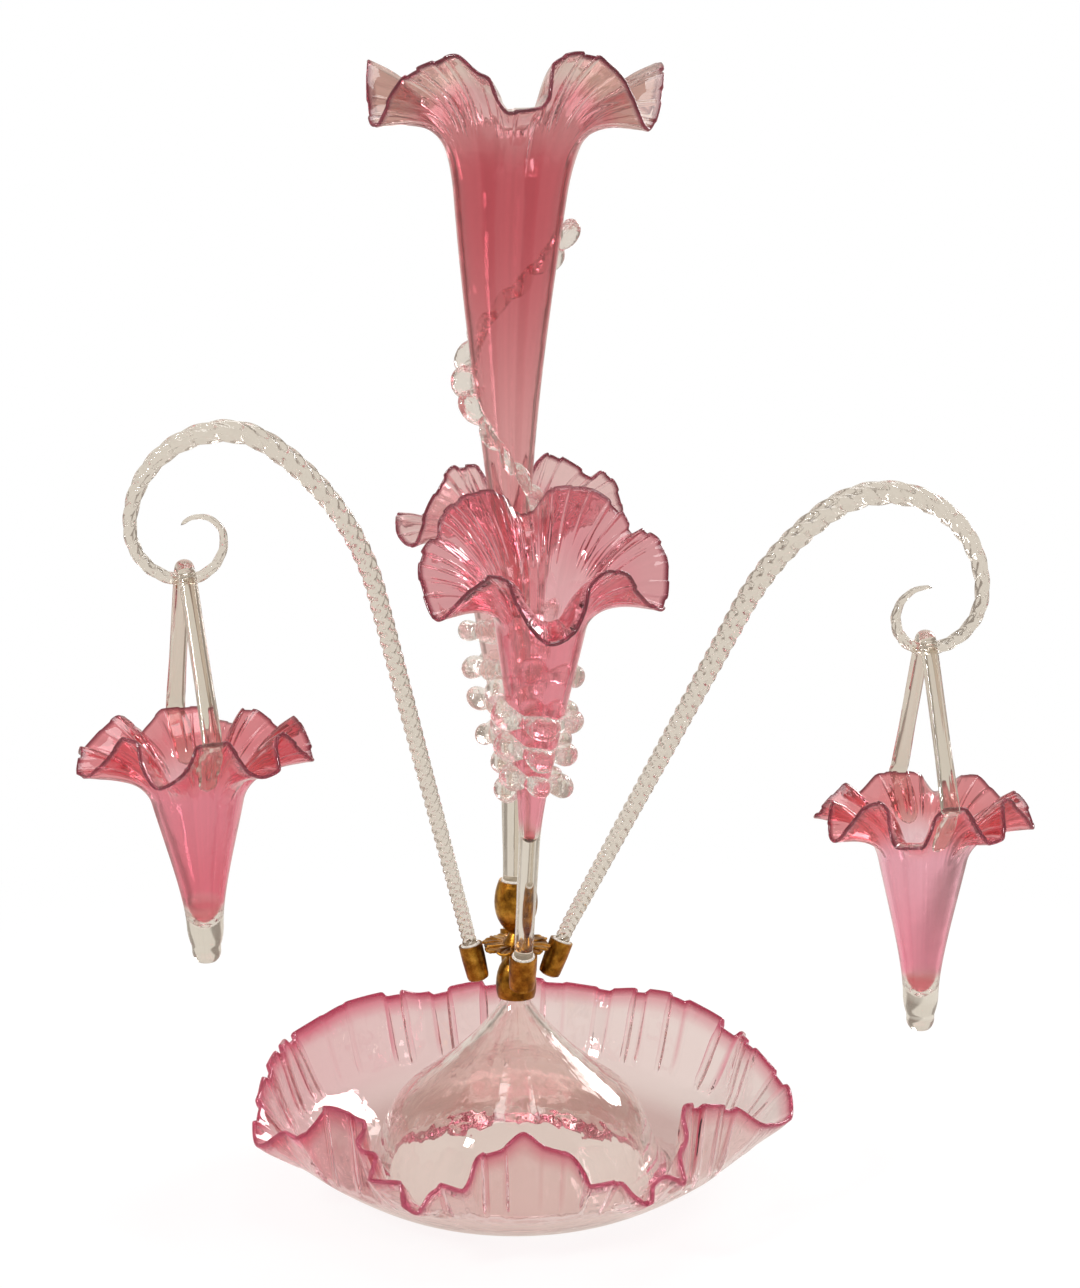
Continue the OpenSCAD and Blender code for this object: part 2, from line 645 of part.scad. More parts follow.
// Hanging baskets: the origin is on the cane's centre line at the crook's lowest point
// A basket is [drop to the mean edge, height of the blown part, mean radius of the edge]
left_form = [left_drop, left_h, left_rim_r];
right_form = [right_drop, right_h, right_rim_r];
module at_hook(az, runs, hang, turn) {
    p = hook_point(runs);
    rotate([0, 0, az]) translate([ring_r + p[0], 0, mouth_z + p[1]]) rotate([0, hang, turn]) children();
}
module at_left() at_hook(left_az, left_runs, left_hang, left_turn) children();
module at_right() at_hook(right_az, right_runs, right_hang, right_turn) children();
function basket_low(b) = [basket_foot_r, -b[0] - b[1]];
function basket_high(b) = [basket_throat_r, -b[0] - throat_depth];
function basket_frill(b) = [flare_curve(basket_low(b), basket_high(b), [b[2], -b[0]], side_open),
    basket_lobes, basket_rise, basket_sway, bell_crimp, -90, 0];
module basket(b) union() {
    bell_body(basket_low(b), basket_high(b));
    frill(basket_frill(b), bell_wall);
}

// Handle: a round loop over the cane, two straps, and pads that wrap over the edge of opposite lobes
loop_r = cane_hook_r + handle_gap + handle_r;
pad_near = bell_wall / 2 + handle_gap;
pad_mid = pad_near + pad_t / 2;
pad_step = 360 / (basket_lobes * lobe_steps);
pad_cols = 3;
wrap_steps = 3;
pad_rows = rows + wrap_steps;
strap_lap = 0.6;
function frill_along(s, a) = unit(frill_point(s, 1, a) - frill_point(s, 0.99, a));
function pad_point(b, row, a, off) = let(
        s = basket_frill(b),
        t = min(row / rows, 1),
        q = 90 * max(row - rows, 0) / wrap_steps)
    frill_point(s, t, a) + off * (cos(q) * frill_normal(s, t, a) + sin(q) * frill_along(s, a));
function pad_layer(b, side, off) = [for (row = [1:pad_rows]) for (k = [-1:1])
    pad_point(b, row, side + k * pad_step, off)];
module pad(b, side) {
    cols = pad_cols;
    n = pad_rows * cols;
    rim = concat([for (k = [0:cols - 1]) k], [for (i = [1:pad_rows - 1]) i * cols + cols - 1],
        [for (k = [cols - 2:-1:0]) (pad_rows - 1) * cols + k], [for (i = [pad_rows - 2:-1:1]) i * cols]);
    polyhedron(concat(pad_layer(b, side, pad_near), pad_layer(b, side, pad_near + pad_t)), concat(
        [for (i = [0:pad_rows - 2]) for (k = [0:cols - 2]) let(a = i * cols + k)
            each [[a, a + 1, a + cols], [a + 1, a + cols + 1, a + cols]]],
        [for (i = [0:pad_rows - 2]) for (k = [0:cols - 2]) let(a = n + i * cols + k)
            each [[a, a + cols, a + 1], [a + 1, a + cols, a + cols + 1]]],
        [for (k = [0:len(rim) - 1]) let(a = rim[k], b = rim[(k + 1) % len(rim)])
            each [[a, a + n, b], [b, a + n, b + n]]]), convexity = 4);
}
// A strap is straight from the loop, which it leaves on a tangent, to the top of its pad
function strap_foot(b, side) = pad_point(b, pad_rows, side, pad_mid);
function strap_lean(b) = let(p = strap_foot(b, 90)) atan2(p[1], -p[2]) - asin(loop_r / norm(p));
module strap(b, side) {
    lean = strap_lean(b);
    out = sin(side);
    along = [0, out * sin(lean), -cos(lean)];
    across = cross(along, [1, 0, 0]);
    foot = strap_foot(b, side);
    from = loop_r * [0, out * cos(lean), sin(lean)] - strap_lap * along;
    to = foot + strap_lap * along;
    end_w = norm([foot[0], foot[1]]) * sin(pad_step) - 2 * strap_lap;
    steps = 4;
    sides = 10;
    rings = [for (i = [0:steps]) let(
            t = i / steps,
            w = mix(handle_r - embed, end_w, t),
            h = mix(handle_r - embed, pad_t / 2 - embed, t))
        for (k = [0:sides - 1]) let(q = 360 * k / sides)
            mix(from, to, t) + [w * cos(q), 0, 0] + h * sin(q) * across];
    polyhedron(rings, tube_faces(sides, steps + 1), convexity = 6);
}
module handle(b) union() {
    lean = strap_lean(b);
    rotate([90, 0, 90]) rotate([0, 0, lean]) rotate_extrude(angle = 180 - 2 * lean)
        translate([loop_r, 0]) circle(r = handle_r, $fn = 32);
    for (side = [-90, 90]) {
        strap(b, side);
        pad(b, side);
    }
}
module knop(b) {
    ball_z = knop_r - knop_h;
    translate([0, 0, -b[0] - b[1]]) rotate_extrude() polygon(concat(
        [[0, 0], [basket_foot_r, 0], [basket_foot_r - 0.6, -0.35 * knop_h], [knop_r + 0.8, -0.45 * knop_h],
            [knop_r - 0.6, -0.5 * knop_h]],
        [for (a = [10:-20:-70]) [knop_r * cos(a), ball_z + knop_r * sin(a)]],
        [[0, -knop_h]]));
}
module left_basket() color(cranberry) at_left() basket(left_form);
module left_handle() color(clear_glass) at_left() handle(left_form);
module left_knop() color(clear_glass) at_left() knop(left_form);
module right_basket() color(cranberry) at_right() basket(right_form);
module right_handle() color(clear_glass) at_right() handle(right_form);
module right_knop() color(clear_glass) at_right() knop(right_form);

base_bowl();
bowl_plaster();
mount_cup();
rosette();
centre_holder();
front_socket();
back_socket();
left_socket();
right_socket();
centre_bell();
centre_stem();
centre_trail();
centre_bush();
front_bell();
front_stem();
front_trail();
front_bush();
back_bell();
back_stem();
back_trail();
back_bush();
left_cane();
left_bush();
left_basket();
left_handle();
left_knop();
right_cane();
right_bush();
right_basket();
right_handle();
right_knop();
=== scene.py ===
"""Looks of the glass flower epergne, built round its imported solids."""
import math

import bpy
import numpy as np
from mathutils import Matrix, Vector


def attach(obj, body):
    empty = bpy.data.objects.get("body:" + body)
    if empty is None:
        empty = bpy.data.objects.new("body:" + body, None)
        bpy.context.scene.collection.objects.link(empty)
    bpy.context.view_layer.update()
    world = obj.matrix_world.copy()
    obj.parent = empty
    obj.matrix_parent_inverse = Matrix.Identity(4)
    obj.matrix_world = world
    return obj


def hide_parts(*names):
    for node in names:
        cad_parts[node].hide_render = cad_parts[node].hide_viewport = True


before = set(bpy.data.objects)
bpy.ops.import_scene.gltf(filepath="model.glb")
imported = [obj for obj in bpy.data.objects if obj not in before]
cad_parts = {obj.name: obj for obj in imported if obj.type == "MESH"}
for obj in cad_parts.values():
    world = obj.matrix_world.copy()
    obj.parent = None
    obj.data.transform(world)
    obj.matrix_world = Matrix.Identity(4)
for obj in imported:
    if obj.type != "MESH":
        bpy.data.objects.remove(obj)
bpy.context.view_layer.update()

# All sizes below are millimetres and degrees; meshes are scaled to metres when they are placed
MM = 0.001
TAU = 2 * math.pi

# Mount
RING_R = 22.0
MOUTH_Z = 119.1
HUB_Z = 119.1
NECK_Z = 116.5
HOLDER_Z = 150.1
FRONT_AZ, BACK_AZ, LEFT_AZ, RIGHT_AZ = 279, 93, 188, 8
SIDE_TILT, LEFT_TILT, RIGHT_TILT = 16, 13, 21
ROSETTE_R, PETAL_ROOT, PETAL_HALF, PETAL_T = 17.2, 4.4, 4.4, 1.3
PETALS = 12
STUD_R = 2.4

# Blown glass; steps are the faces round a piece, and rows those up each side of its frill
BELL_WALL = 2.4
BOWL_WALL = 3.0
TRUMPET_STEPS, BASKET_STEPS, BOWL_STEPS = 560, 480, 760
TRUMPET_ROWS, BASKET_ROWS, BOWL_ROWS = 26, 22, 18
RIM_THIN = 0.35
STEM_LOW, STEM_SWELL, STEM_CHAMFER = -15.35, 0.4, 0.7
TRUMPET_CORE, BASKET_CORE = 14, 15
RUFFLE_POWER = 1.6
THROAT_STEEPEN = 1.15
FOOT_PULL, THROAT_PULL, RIM_PULL = 0.25, 0.35, 0.55

# Bowl
DOME_TOP, TIP_R = 103.0, 6.4
BRIM, BRIM_RUN = np.array([104.0, 21.0]), np.array([8.0, 6.0])
EDGE, EDGE_RUN = np.array([122.0, 51.0]), np.array([8.0, 16.0])

# Trails
TRAIL_CORD, LEAF_PITCH, TRAIL_GAP = 1.4, 13.0, 0.3
LEAF_REACH, LEAF_RISE, LEAF_THICK, TRAIL_RISE = 5.5, 5.7, 4.9, 2.8
LEAF_RINGS, TRAIL_SIDES = 24, 18

# Canes
ROOT_BEND = 80.0
CROWN_FROM = 55.0
CANE_STEP = 1.1
CANE_RIBS, RIB_DEPTH = 5, 0.11

# Baskets
BASKET_THROAT_DEPTH, BASKET_THROAT_R, BASKET_FOOT_R = 24.0, 21.5, 8.6
KNOP_H, KNOP_R = 16.0, 6.8
CANE_HOOK_R, HANDLE_R, HANDLE_GAP, PAD_T = 3.0, 3.0, 0.35, 2.4
STRAP_W, STRAP_END, PAD_W = 4.0, 4.4, 5.6
HANDLE_SIDES = 24
LOOP_R = CANE_HOOK_R + HANDLE_GAP + HANDLE_R
PAD_NEAR = BELL_WALL / 2 + HANDLE_GAP
PAD_MID = PAD_NEAR + PAD_T / 2


# Materials


def colour(code):
    """An sRGB hex value as linear red, green and blue, and full alpha."""
    parts = [int(code[i:i + 2], 16) / 255 for i in (1, 3, 5)]
    return [c / 12.92 if c <= 0.04045 else ((c + 0.055) / 1.055) ** 2.4 for c in parts] + [1.0]


def add(tree, kind, links=None, values=None, **settings):
    """One node: its settings, the constants on its inputs, and the outputs that feed its inputs."""
    node = tree.nodes.new("ShaderNode" + kind)
    for name, value in settings.items():
        setattr(node, name, value)
    for name, value in (values or {}).items():
        node.inputs[name].default_value = value
    for name, source in (links or {}).items():
        tree.links.new(source, node.inputs[name])
    return node


def blank(name):
    """A material with an empty node tree."""
    material = bpy.data.materials.new(name)
    material.use_nodes = True
    material.node_tree.nodes.clear()
    return material, material.node_tree


def through_lamps(tree, shader, film):
    """Lamps and soft light pass the glass with the tint of each face, so that it casts a pale shadow."""
    path = add(tree, "LightPath")
    passing = add(tree, "Math", {0: path.outputs["Is Shadow Ray"], 1: path.outputs["Is Diffuse Ray"]},
                  operation="MAXIMUM")
    both = add(tree, "MixShader", {0: passing.outputs[0], 1: shader.outputs[0], 2: film.outputs[0]})
    add(tree, "OutputMaterial", {"Surface": both.outputs[0]})


def cased_glass(name, ripple_mm, ripple_depth, line_mm, line_depth):
    """Blown soda glass cased with a thin coloured layer, fire polished.

    The attribute "tint" holds the tint of each face; its alpha is how clear the glass is there.
    Soft ripples from the blowing and fine upright lines from the drawing bend what shows through it.
    """
    material, tree = blank(name)
    tint = add(tree, "Attribute", attribute_name="tint")
    place = add(tree, "TexCoord")
    drawn = add(tree, "Attribute", attribute_name="drawn")
    ripples = add(tree, "TexNoise", {"Vector": place.outputs["Object"]},
                  {"Scale": 1 / (ripple_mm * MM), "Detail": 1.0})
    lines = add(tree, "TexNoise", {"Vector": drawn.outputs["Vector"]},
                {"Scale": 1 / (line_mm * MM), "Detail": 2.0})
    wavy = add(tree, "Bump", {"Height": ripples.outputs["Fac"]},
               {"Strength": 1.0, "Distance": ripple_depth * MM})
    lined = add(tree, "Bump", {"Height": lines.outputs["Fac"], "Normal": wavy.outputs[0]},
                {"Strength": 1.0, "Distance": line_depth * MM})
    shader = add(tree, "BsdfPrincipled", {"Base Color": tint.outputs["Color"], "Normal": lined.outputs[0],
                                          "Transmission Weight": tint.outputs["Alpha"]},
                 {"IOR": 1.5, "Roughness": 0.0})
    face = add(tree, "Gamma", {"Color": tint.outputs["Color"]}, {"Gamma": 0.5})
    through_lamps(tree, shader, add(tree, "BsdfTransparent", {"Color": face.outputs[0]}))
    return material


def clear_glass(name, code, grain_mm, grain_depth, roughness):
    """Clear soda glass drawn or pressed by hand; a warm grey cast, and a grain left by the tools."""
    material, tree = blank(name)
    place = add(tree, "TexCoord")
    grain = add(tree, "TexNoise", {"Vector": place.outputs["Object"]},
                {"Scale": 1 / (grain_mm * MM), "Detail": 1.5})
    rough = add(tree, "Bump", {"Height": grain.outputs["Fac"]},
                {"Strength": 1.0, "Distance": grain_depth * MM})
    shader = add(tree, "BsdfPrincipled", {"Normal": rough.outputs[0]},
                 {"Base Color": colour(code), "Transmission Weight": 1.0, "IOR": 1.5,
                  "Roughness": roughness})
    through_lamps(tree, shader, add(tree, "BsdfTransparent", values={"Color": colour("#f4f0ea")}))
    return material


def aged_brass():
    """Cast and drawn brass browned with age: gold where it is rubbed, brown in patches, finely pitted."""
    material, tree = blank("aged_brass")
    place = add(tree, "TexCoord")
    blotch = add(tree, "TexNoise", {"Vector": place.outputs["Object"]},
                 {"Scale": 1 / (7 * MM), "Detail": 4.0, "Roughness": 0.6})
    speck = add(tree, "TexNoise", {"Vector": place.outputs["Object"]},
                {"Scale": 1 / (0.9 * MM), "Detail": 3.0, "Roughness": 0.7})
    tones = add(tree, "ValToRGB", {"Fac": blotch.outputs["Fac"]})
    ramp = tones.color_ramp
    ramp.elements[0].position, ramp.elements[0].color = 0.34, colour("#5a3810")
    ramp.elements[1].position, ramp.elements[1].color = 0.66, colour("#d09c40")
    middle = ramp.elements.new(0.5)
    middle.color = colour("#a06d24")
    spots = add(tree, "MapRange", {"Value": speck.outputs["Fac"]},
                {"From Min": 0.3, "From Max": 0.55, "To Min": 0.72, "To Max": 1.0})
    aged = add(tree, "Mix", {6: tones.outputs["Color"], 7: spots.outputs[0]}, {0: 1.0},
               data_type="RGBA", blend_type="MULTIPLY")
    wear = add(tree, "MapRange", {"Value": blotch.outputs["Fac"]}, {"To Min": 0.46, "To Max": 0.22})
    grain = add(tree, "Bump", {"Height": speck.outputs["Fac"]}, {"Strength": 0.5, "Distance": 0.12 * MM})
    shader = add(tree, "BsdfPrincipled", {"Base Color": aged.outputs[2], "Roughness": wear.outputs[0],
                                          "Normal": grain.outputs[0]}, {"Metallic": 1.0})
    add(tree, "OutputMaterial", {"Surface": shader.outputs[0]})
    return material


def plaster_of_paris():
    """White plaster packed by hand: chalky, pitted, a little grey with dust."""
    material, tree = blank("plaster_of_paris")
    place = add(tree, "TexCoord")
    pits = add(tree, "TexNoise", {"Vector": place.outputs["Object"]},
               {"Scale": 1 / (1.1 * MM), "Detail": 4.0, "Roughness": 0.7})
    dust = add(tree, "ValToRGB", {"Fac": pits.outputs["Fac"]})
    dust.color_ramp.elements[0].position, dust.color_ramp.elements[0].color = 0.3, colour("#b9b0a0")
    dust.color_ramp.elements[1].position, dust.color_ramp.elements[1].color = 0.6, colour("#e9e5dc")
    bumps = add(tree, "Bump", {"Height": pits.outputs["Fac"]}, {"Strength": 0.8, "Distance": 0.3 * MM})
    shader = add(tree, "BsdfPrincipled", {"Base Color": dust.outputs[0], "Normal": bumps.outputs[0]},
                 {"Roughness": 0.9})
    add(tree, "OutputMaterial", {"Surface": shader.outputs[0]})
    return material


CRANBERRY = cased_glass("cased_cranberry_glass", 12, 0.26, 3.2, 0.025)
BOWL_GLASS = cased_glass("rose_edged_bowl_glass", 9, 0.32, 5.0, 0.06)
DRAWN_GLASS = clear_glass("clear_drawn_glass", "#e9e3d9", 6, 0.05, 0.0)
TWISTED_GLASS = clear_glass("clear_twisted_glass", "#f0ebe4", 1.6, 0.22, 0.02)
PINCHED_GLASS = clear_glass("clear_pinched_glass", "#f8f4f1", 1.8, 0.45, 0.0)
BRASS = aged_brass()
PLASTER = plaster_of_paris()

# Tints of the glass faces: each face lets through the square root of its tint
CLEAR = np.array(colour("#efeae2"))
CENTRE_ROSES = [np.array(colour(c)) for c in ("#f4d0d3", "#e49aa4", "#e9b6bb", "#e9d0cb")]
FRONT_ROSES = [np.array(colour(c)) for c in ("#fbc8d3", "#f8c0cb", "#f0a6b3", "#eeaeb8")]
BACK_ROSES = [np.array(colour(c)) for c in ("#fbeceb", "#f9dfe2", "#f2bcc6", "#f4cfd2")]
LEFT_ROSES = [np.array(colour(c)) for c in ("#f5afbd", "#f7bcc9", "#f08f9b", "#ee95a0")]
RIGHT_ROSES = [np.array(colour(c)) for c in ("#fec8d6", "#ffd6e2", "#f2979f", "#f09ba4")]
CORE_ROSE = np.array(colour("#e0707e"))
INSIDE = np.array(colour("#faf4f4"))
# Painted shade: a dark, less clear line at the rim of each frill and along the sides of its folds, where the
# sheet is seen along its thickness
FRILL_RIM_AND_CREASE_SHADE = np.array(colour("#7e3242")[:3] + [0.6])
BOWL_CLEAR = np.array(colour("#faf2ef"))
BOWL_FLANK = np.array(colour("#f2e5e1"))
BOWL_LOBE = np.array(colour("#f7e8e8"))
# Grey rose on the outside of the wall under the brim: the rose of the glass with painted shade
BOWL_WALL_ROSE_AND_SHADE = np.array(colour("#c9a3a4"))
# Rose of the bowl towards its edge, also used as painted shade on the steep sides of the folds
BOWL_PINK_AND_CREASE_SHADE = np.array(colour("#e0748c"))
# Deep rose at the bowl's rim, darkened and made less clear as painted shade where the lip is seen along its
# thickness
BOWL_RIM_ROSE_AND_SHADE = np.array(colour("#b43e5e")[:3] + [0.66])


# Shapes in numbers


def bez(p, t):
    """Points of a cubic curve with four control points."""
    p = np.asarray(p, float)
    t = np.asarray(t, float)[..., None]
    return (1 - t) ** 3 * p[0] + 3 * (1 - t) ** 2 * t * p[1] + 3 * (1 - t) * t * t * p[2] + t ** 3 * p[3]


def unit(v):
    """Directions of length 1."""
    return v / np.maximum(np.linalg.norm(v, axis=-1, keepdims=True), 1e-12)


def smooth(low, high, x):
    """0 up to low and 1 from high on, with a smooth rise between; low may be the larger of the two."""
    t = np.clip((np.asarray(x, float) - low) / (high - low), 0, 1)
    return t * t * (3 - 2 * t)


def throat_slope(foot, throat):
    """Run outwards per rise at the throat of a blown body."""
    return THROAT_STEEPEN * (throat[0] - foot[0]) / (throat[1] - foot[1])


def body_curve(foot, throat):
    """Outside of a blown body, from its foot to its throat."""
    foot, throat = np.array(foot, float), np.array(throat, float)
    h, m = throat[1] - foot[1], throat_slope(foot, throat)
    return [foot, foot + [0, FOOT_PULL * h], throat - THROAT_PULL * h * np.array([m, 1]), throat]


def flare_curve(foot, throat, rim, opening):
    """Middle of the sheet from the throat to the rim."""
    throat, rim = np.array(throat, float), np.array(rim, float)
    h, m = rim[1] - throat[1], throat_slope(foot, throat)
    start = throat - [BELL_WALL / 2, 0]
    return [start, start + opening * h * np.array([m, 1]),
            rim - RIM_PULL * np.array([rim[0] - throat[0], (1 - opening) / 2 * h]), rim]


def edge_run(table, a):
    """Smooth run round an edge through its points of [angle, out, up], with no overshoot between them."""
    table = np.array(table, float)
    step = np.diff(np.append(table[:, 0], table[0, 0] + 360))[:, None]
    slope = (np.roll(table[:, 1:], -1, axis=0) - table[:, 1:]) / step
    before, width = np.roll(slope, 1, axis=0), np.roll(step, 1, axis=0)
    same = before * slope > 0
    w1, w2 = 2 * step + width, step + 2 * width
    mean = (w1 + w2) / (w1 / np.where(same, before, 1) + w2 / np.where(same, slope, 1))
    tangent = np.where(same, mean, 0)
    deg = (np.degrees(a) - table[0, 0]) % 360 + table[0, 0]
    i = np.searchsorted(table[:, 0], deg, side="right") - 1
    k = (i + 1) % len(table)
    s = (deg - table[i, 0])[:, None] / step[i]
    return ((1 + 2 * s) * (1 - s) ** 2 * table[i, 1:] + s * s * (3 - 2 * s) * table[k, 1:]
            + step[i] * s * (1 - s) * ((1 - s) * tangent[i] - s * tangent[k]))


def folding(f, t, a):
    """Folds of a frill: 1 along the top of each and 0 between them, and their depth, which grows outwards."""
    seed = f["seed"]
    phase = f["folds"] * a + 1.3 * np.sin(3 * a + seed) + 0.8 * np.sin(7 * a + 2 * seed)
    deep = np.clip(0.75 + 0.35 * np.sin(5 * a + 2 * seed) + 0.3 * np.sin(11 * a + seed), 0.15, 1.3)
    top = smooth(f["wide"], f["wide"] + 0.22, (1 + np.cos(phase)) / 2)
    return top, deep * smooth(f["start"], f["start"] + 0.25, t)


def pleats(f, t, a):
    """Height of the folds at each place."""
    top, deep = folding(f, t, a)
    return top * deep


def creases(f, t, a):
    """1 along the two steep sides of each fold."""
    top, deep = folding(f, t, a)
    return 4 * top * (1 - top) * deep


def frill_point(f, t, a):
    """Middle of a frilled sheet at t from throat to rim and angle a: lobes that grow outwards, and folds."""
    p = bez(f["curve"], t)
    w = t ** RUFFLE_POWER
    edge = edge_run(f["edge"], a)
    fold = pleats(f, t, a)
    r = p[..., 0] + edge[..., 0] * w - f["fold"] * fold
    z = p[..., 1] + edge[..., 1] * w - f["notch"] * w * fold
    return np.stack([r * np.cos(a), r * np.sin(a), z], -1)


def frill_normal(f, t, a):
    """Outward side of the frilled sheet, from a short step across it and one up it."""
    turn, rise = 0.003, 0.006
    across = frill_point(f, t, a + turn) - frill_point(f, t, a - turn)
    up = frill_point(f, np.minimum(t + rise, 1), a) - frill_point(f, np.maximum(t - rise, 0), a)
    return unit(np.cross(across, up))


def frill_along(f, a):
    """Direction in which the sheet runs out at its rim."""
    one = np.ones_like(a)
    return unit(frill_point(f, one, a) - frill_point(f, 0.99 * one, a))


# Making meshes


def fresh():
    """Nothing selected and object mode, before an operator."""
    if bpy.context.object and bpy.context.object.mode != "OBJECT":
        bpy.ops.object.mode_set(mode="OBJECT")
    bpy.ops.object.select_all(action="DESELECT")


def coords(obj):
    """Places of the mesh's points."""
    co = np.empty(len(obj.data.vertices) * 3)
    obj.data.vertices.foreach_get("co", co)
    return co.reshape(-1, 3)


def set_coords(obj, co):
    """Move the mesh's points to these places."""
    obj.data.vertices.foreach_set("co", np.ascontiguousarray(co, dtype=np.float32).ravel())
    obj.data.update()


def tidy_mesh(gap):
    """Merge doubles and point the faces outwards, in edit mode."""
    bpy.ops.mesh.select_all(action="SELECT")
    bpy.ops.mesh.remove_doubles(threshold=gap)
    bpy.ops.mesh.normals_make_consistent(inside=False)
    bpy.ops.object.mode_set(mode="OBJECT")


def spun(name, outline, steps):
    """A half outline drawn point by point by extruding, then turned round Z."""
    fresh()
    bpy.ops.mesh.primitive_plane_add(size=1, location=(0, 0, 0))
    obj = bpy.context.object
    obj.name = obj.data.name = name
    bpy.ops.object.mode_set(mode="EDIT")
    bpy.ops.mesh.select_all(action="SELECT")
    bpy.ops.mesh.merge(type="CENTER")
    last = (0.0, 0.0)
    for i, (r, z) in enumerate(outline):
        step = (r - last[0], 0, z - last[1])
        if i == 0:
            bpy.ops.transform.translate(value=step)
        else:
            bpy.ops.mesh.extrude_region_move(TRANSFORM_OT_translate={"value": step})
        last = (r, z)
    bpy.ops.object.mode_set(mode="OBJECT")
    turning = obj.modifiers.new("turning", "SCREW")
    turning.axis, turning.angle, turning.screw_offset = "Z", TAU, 0
    turning.steps = turning.render_steps = steps
    turning.use_merge_vertices, turning.merge_threshold = True, 1e-4
    bpy.ops.object.modifier_apply(modifier="turning")
    bpy.ops.object.mode_set(mode="EDIT")
    tidy_mesh(1e-4)
    return obj


def rolled(name, rings, sides, point):
    """A grid rolled up into a tube; point gives the place of ring i at angle q, and closes its ends."""
    fresh()
    bpy.ops.mesh.primitive_grid_add(x_subdivisions=rings, y_subdivisions=sides, size=1, location=(0, 0, 0))
    obj = bpy.context.object
    obj.name = obj.data.name = name
    co = coords(obj)
    i = np.rint((co[:, 0] + 0.5) * rings).astype(int)
    k = np.rint((co[:, 1] + 0.5) * sides).astype(int) % sides
    set_coords(obj, point(i, TAU * k / sides))
    bpy.ops.object.mode_set(mode="EDIT")
    tidy_mesh(1e-4)
    return obj


def put(obj, place, body, slot, material, *nodes):
    """Move the mesh to its place in metres, smooth it, give it its material and body, and hide the solids it
    stands for.
    """
    obj.data.transform(Matrix.Scale(MM, 4) @ place)
    fresh()
    obj.select_set(True)
    bpy.context.view_layer.objects.active = obj
    bpy.ops.object.shade_smooth()
    obj.data.materials.clear()
    obj.data.materials.append(material)
    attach(obj, body)
    if nodes:
        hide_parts(*nodes)
    return obj


def turned(axis, degrees):
    """A turn about one axis."""
    return Matrix.Rotation(math.radians(degrees), 4, axis)


def at_socket(az, tilt):
    """Mouth of a leaning socket, Z along its bore."""
    return turned("Z", az) @ Matrix.Translation((RING_R, 0, MOUTH_Z)) @ turned("Y", tilt)


# Blown pieces


def flare_rows(f, wall, count):
    """Rows over a frilled sheet: up its outside, round its edge and down its inside.

    A row is [radius, height, t, q]: t runs from throat to rim and is -1 below the frill, and q is 0 outside,
    90 at the edge and 180 inside.
    """
    half = wall / 2
    steps = [(t, 0) for t in np.linspace(0, 1, count + 1)[1:]]
    steps += [(1.0, q) for q in (30, 60, 90, 120, 150)]
    steps += [(t, 180) for t in np.linspace(1, 0, count + 1)]
    rows = []
    for t, q in steps:
        p = bez(f["curve"], t)
        d = unit(bez(f["curve"], min(t + 0.01, 1)) - bez(f["curve"], max(t - 0.01, 0)))
        n = np.array([d[1], -d[0]])
        at = p + half * (math.cos(math.radians(q)) * n + math.sin(math.radians(q)) * d)
        rows.append([at[0], at[1], t, q])
    return rows


def blown(name, rows, steps, f, wall, tint, bend=None):
    """A spun body whose flare rows are then ruffled; tint gives the colour of each row."""
    rows = np.array(rows, float)
    obj = spun(name, rows[:, :2], steps)
    co = coords(obj)
    r, a = np.hypot(co[:, 0], co[:, 1]), np.arctan2(co[:, 1], co[:, 0])
    row = np.empty(len(co), int)
    # Each point finds its row, a batch at a time to spare memory
    batch = 20000
    for start in range(0, len(co), batch):
        part = slice(start, start + batch)
        aside, above = r[part, None] - rows[None, :, 0], co[part, 2, None] - rows[None, :, 1]
        row[part] = np.argmin(aside ** 2 + above ** 2, 1)
    t, q = rows[row, 2], np.radians(rows[row, 3])
    flared = t >= 0
    tf, af, qf = t[flared], a[flared], q[flared]
    side = np.cos(qf)[:, None] * frill_normal(f, tf, af) + np.sin(qf)[:, None] * frill_along(f, af)
    # Drawing lines run up the piece, so their pattern is stretched along its height
    drawn = np.stack([60 * np.cos(a), 60 * np.sin(a), 0.08 * co[:, 2]], -1) * MM
    half = wall / 2 * (1 - RIM_THIN * smooth(0.85, 1, tf)) * (1 + f["ridge"] * creases(f, tf, af))
    co[flared] = frill_point(f, tf, af) + half[:, None] * side
    if bend is not None:
        co[:, 0] += bend(co[:, 2])
    set_coords(obj, co)
    colours = tint(rows[row], a)
    layer = obj.data.attributes.new("tint", "FLOAT_COLOR", "POINT")
    layer.data.foreach_set("color", colours.astype(np.float32).ravel())
    layer = obj.data.attributes.new("drawn", "FLOAT_VECTOR", "POINT")
    layer.data.foreach_set("vector", drawn.astype(np.float32).ravel())
    return obj


def blend(a, b, w):
    """Colour a where w is 0 and b where it is 1."""
    w = np.asarray(w)[:, None]
    return a * (1 - w) + b * w


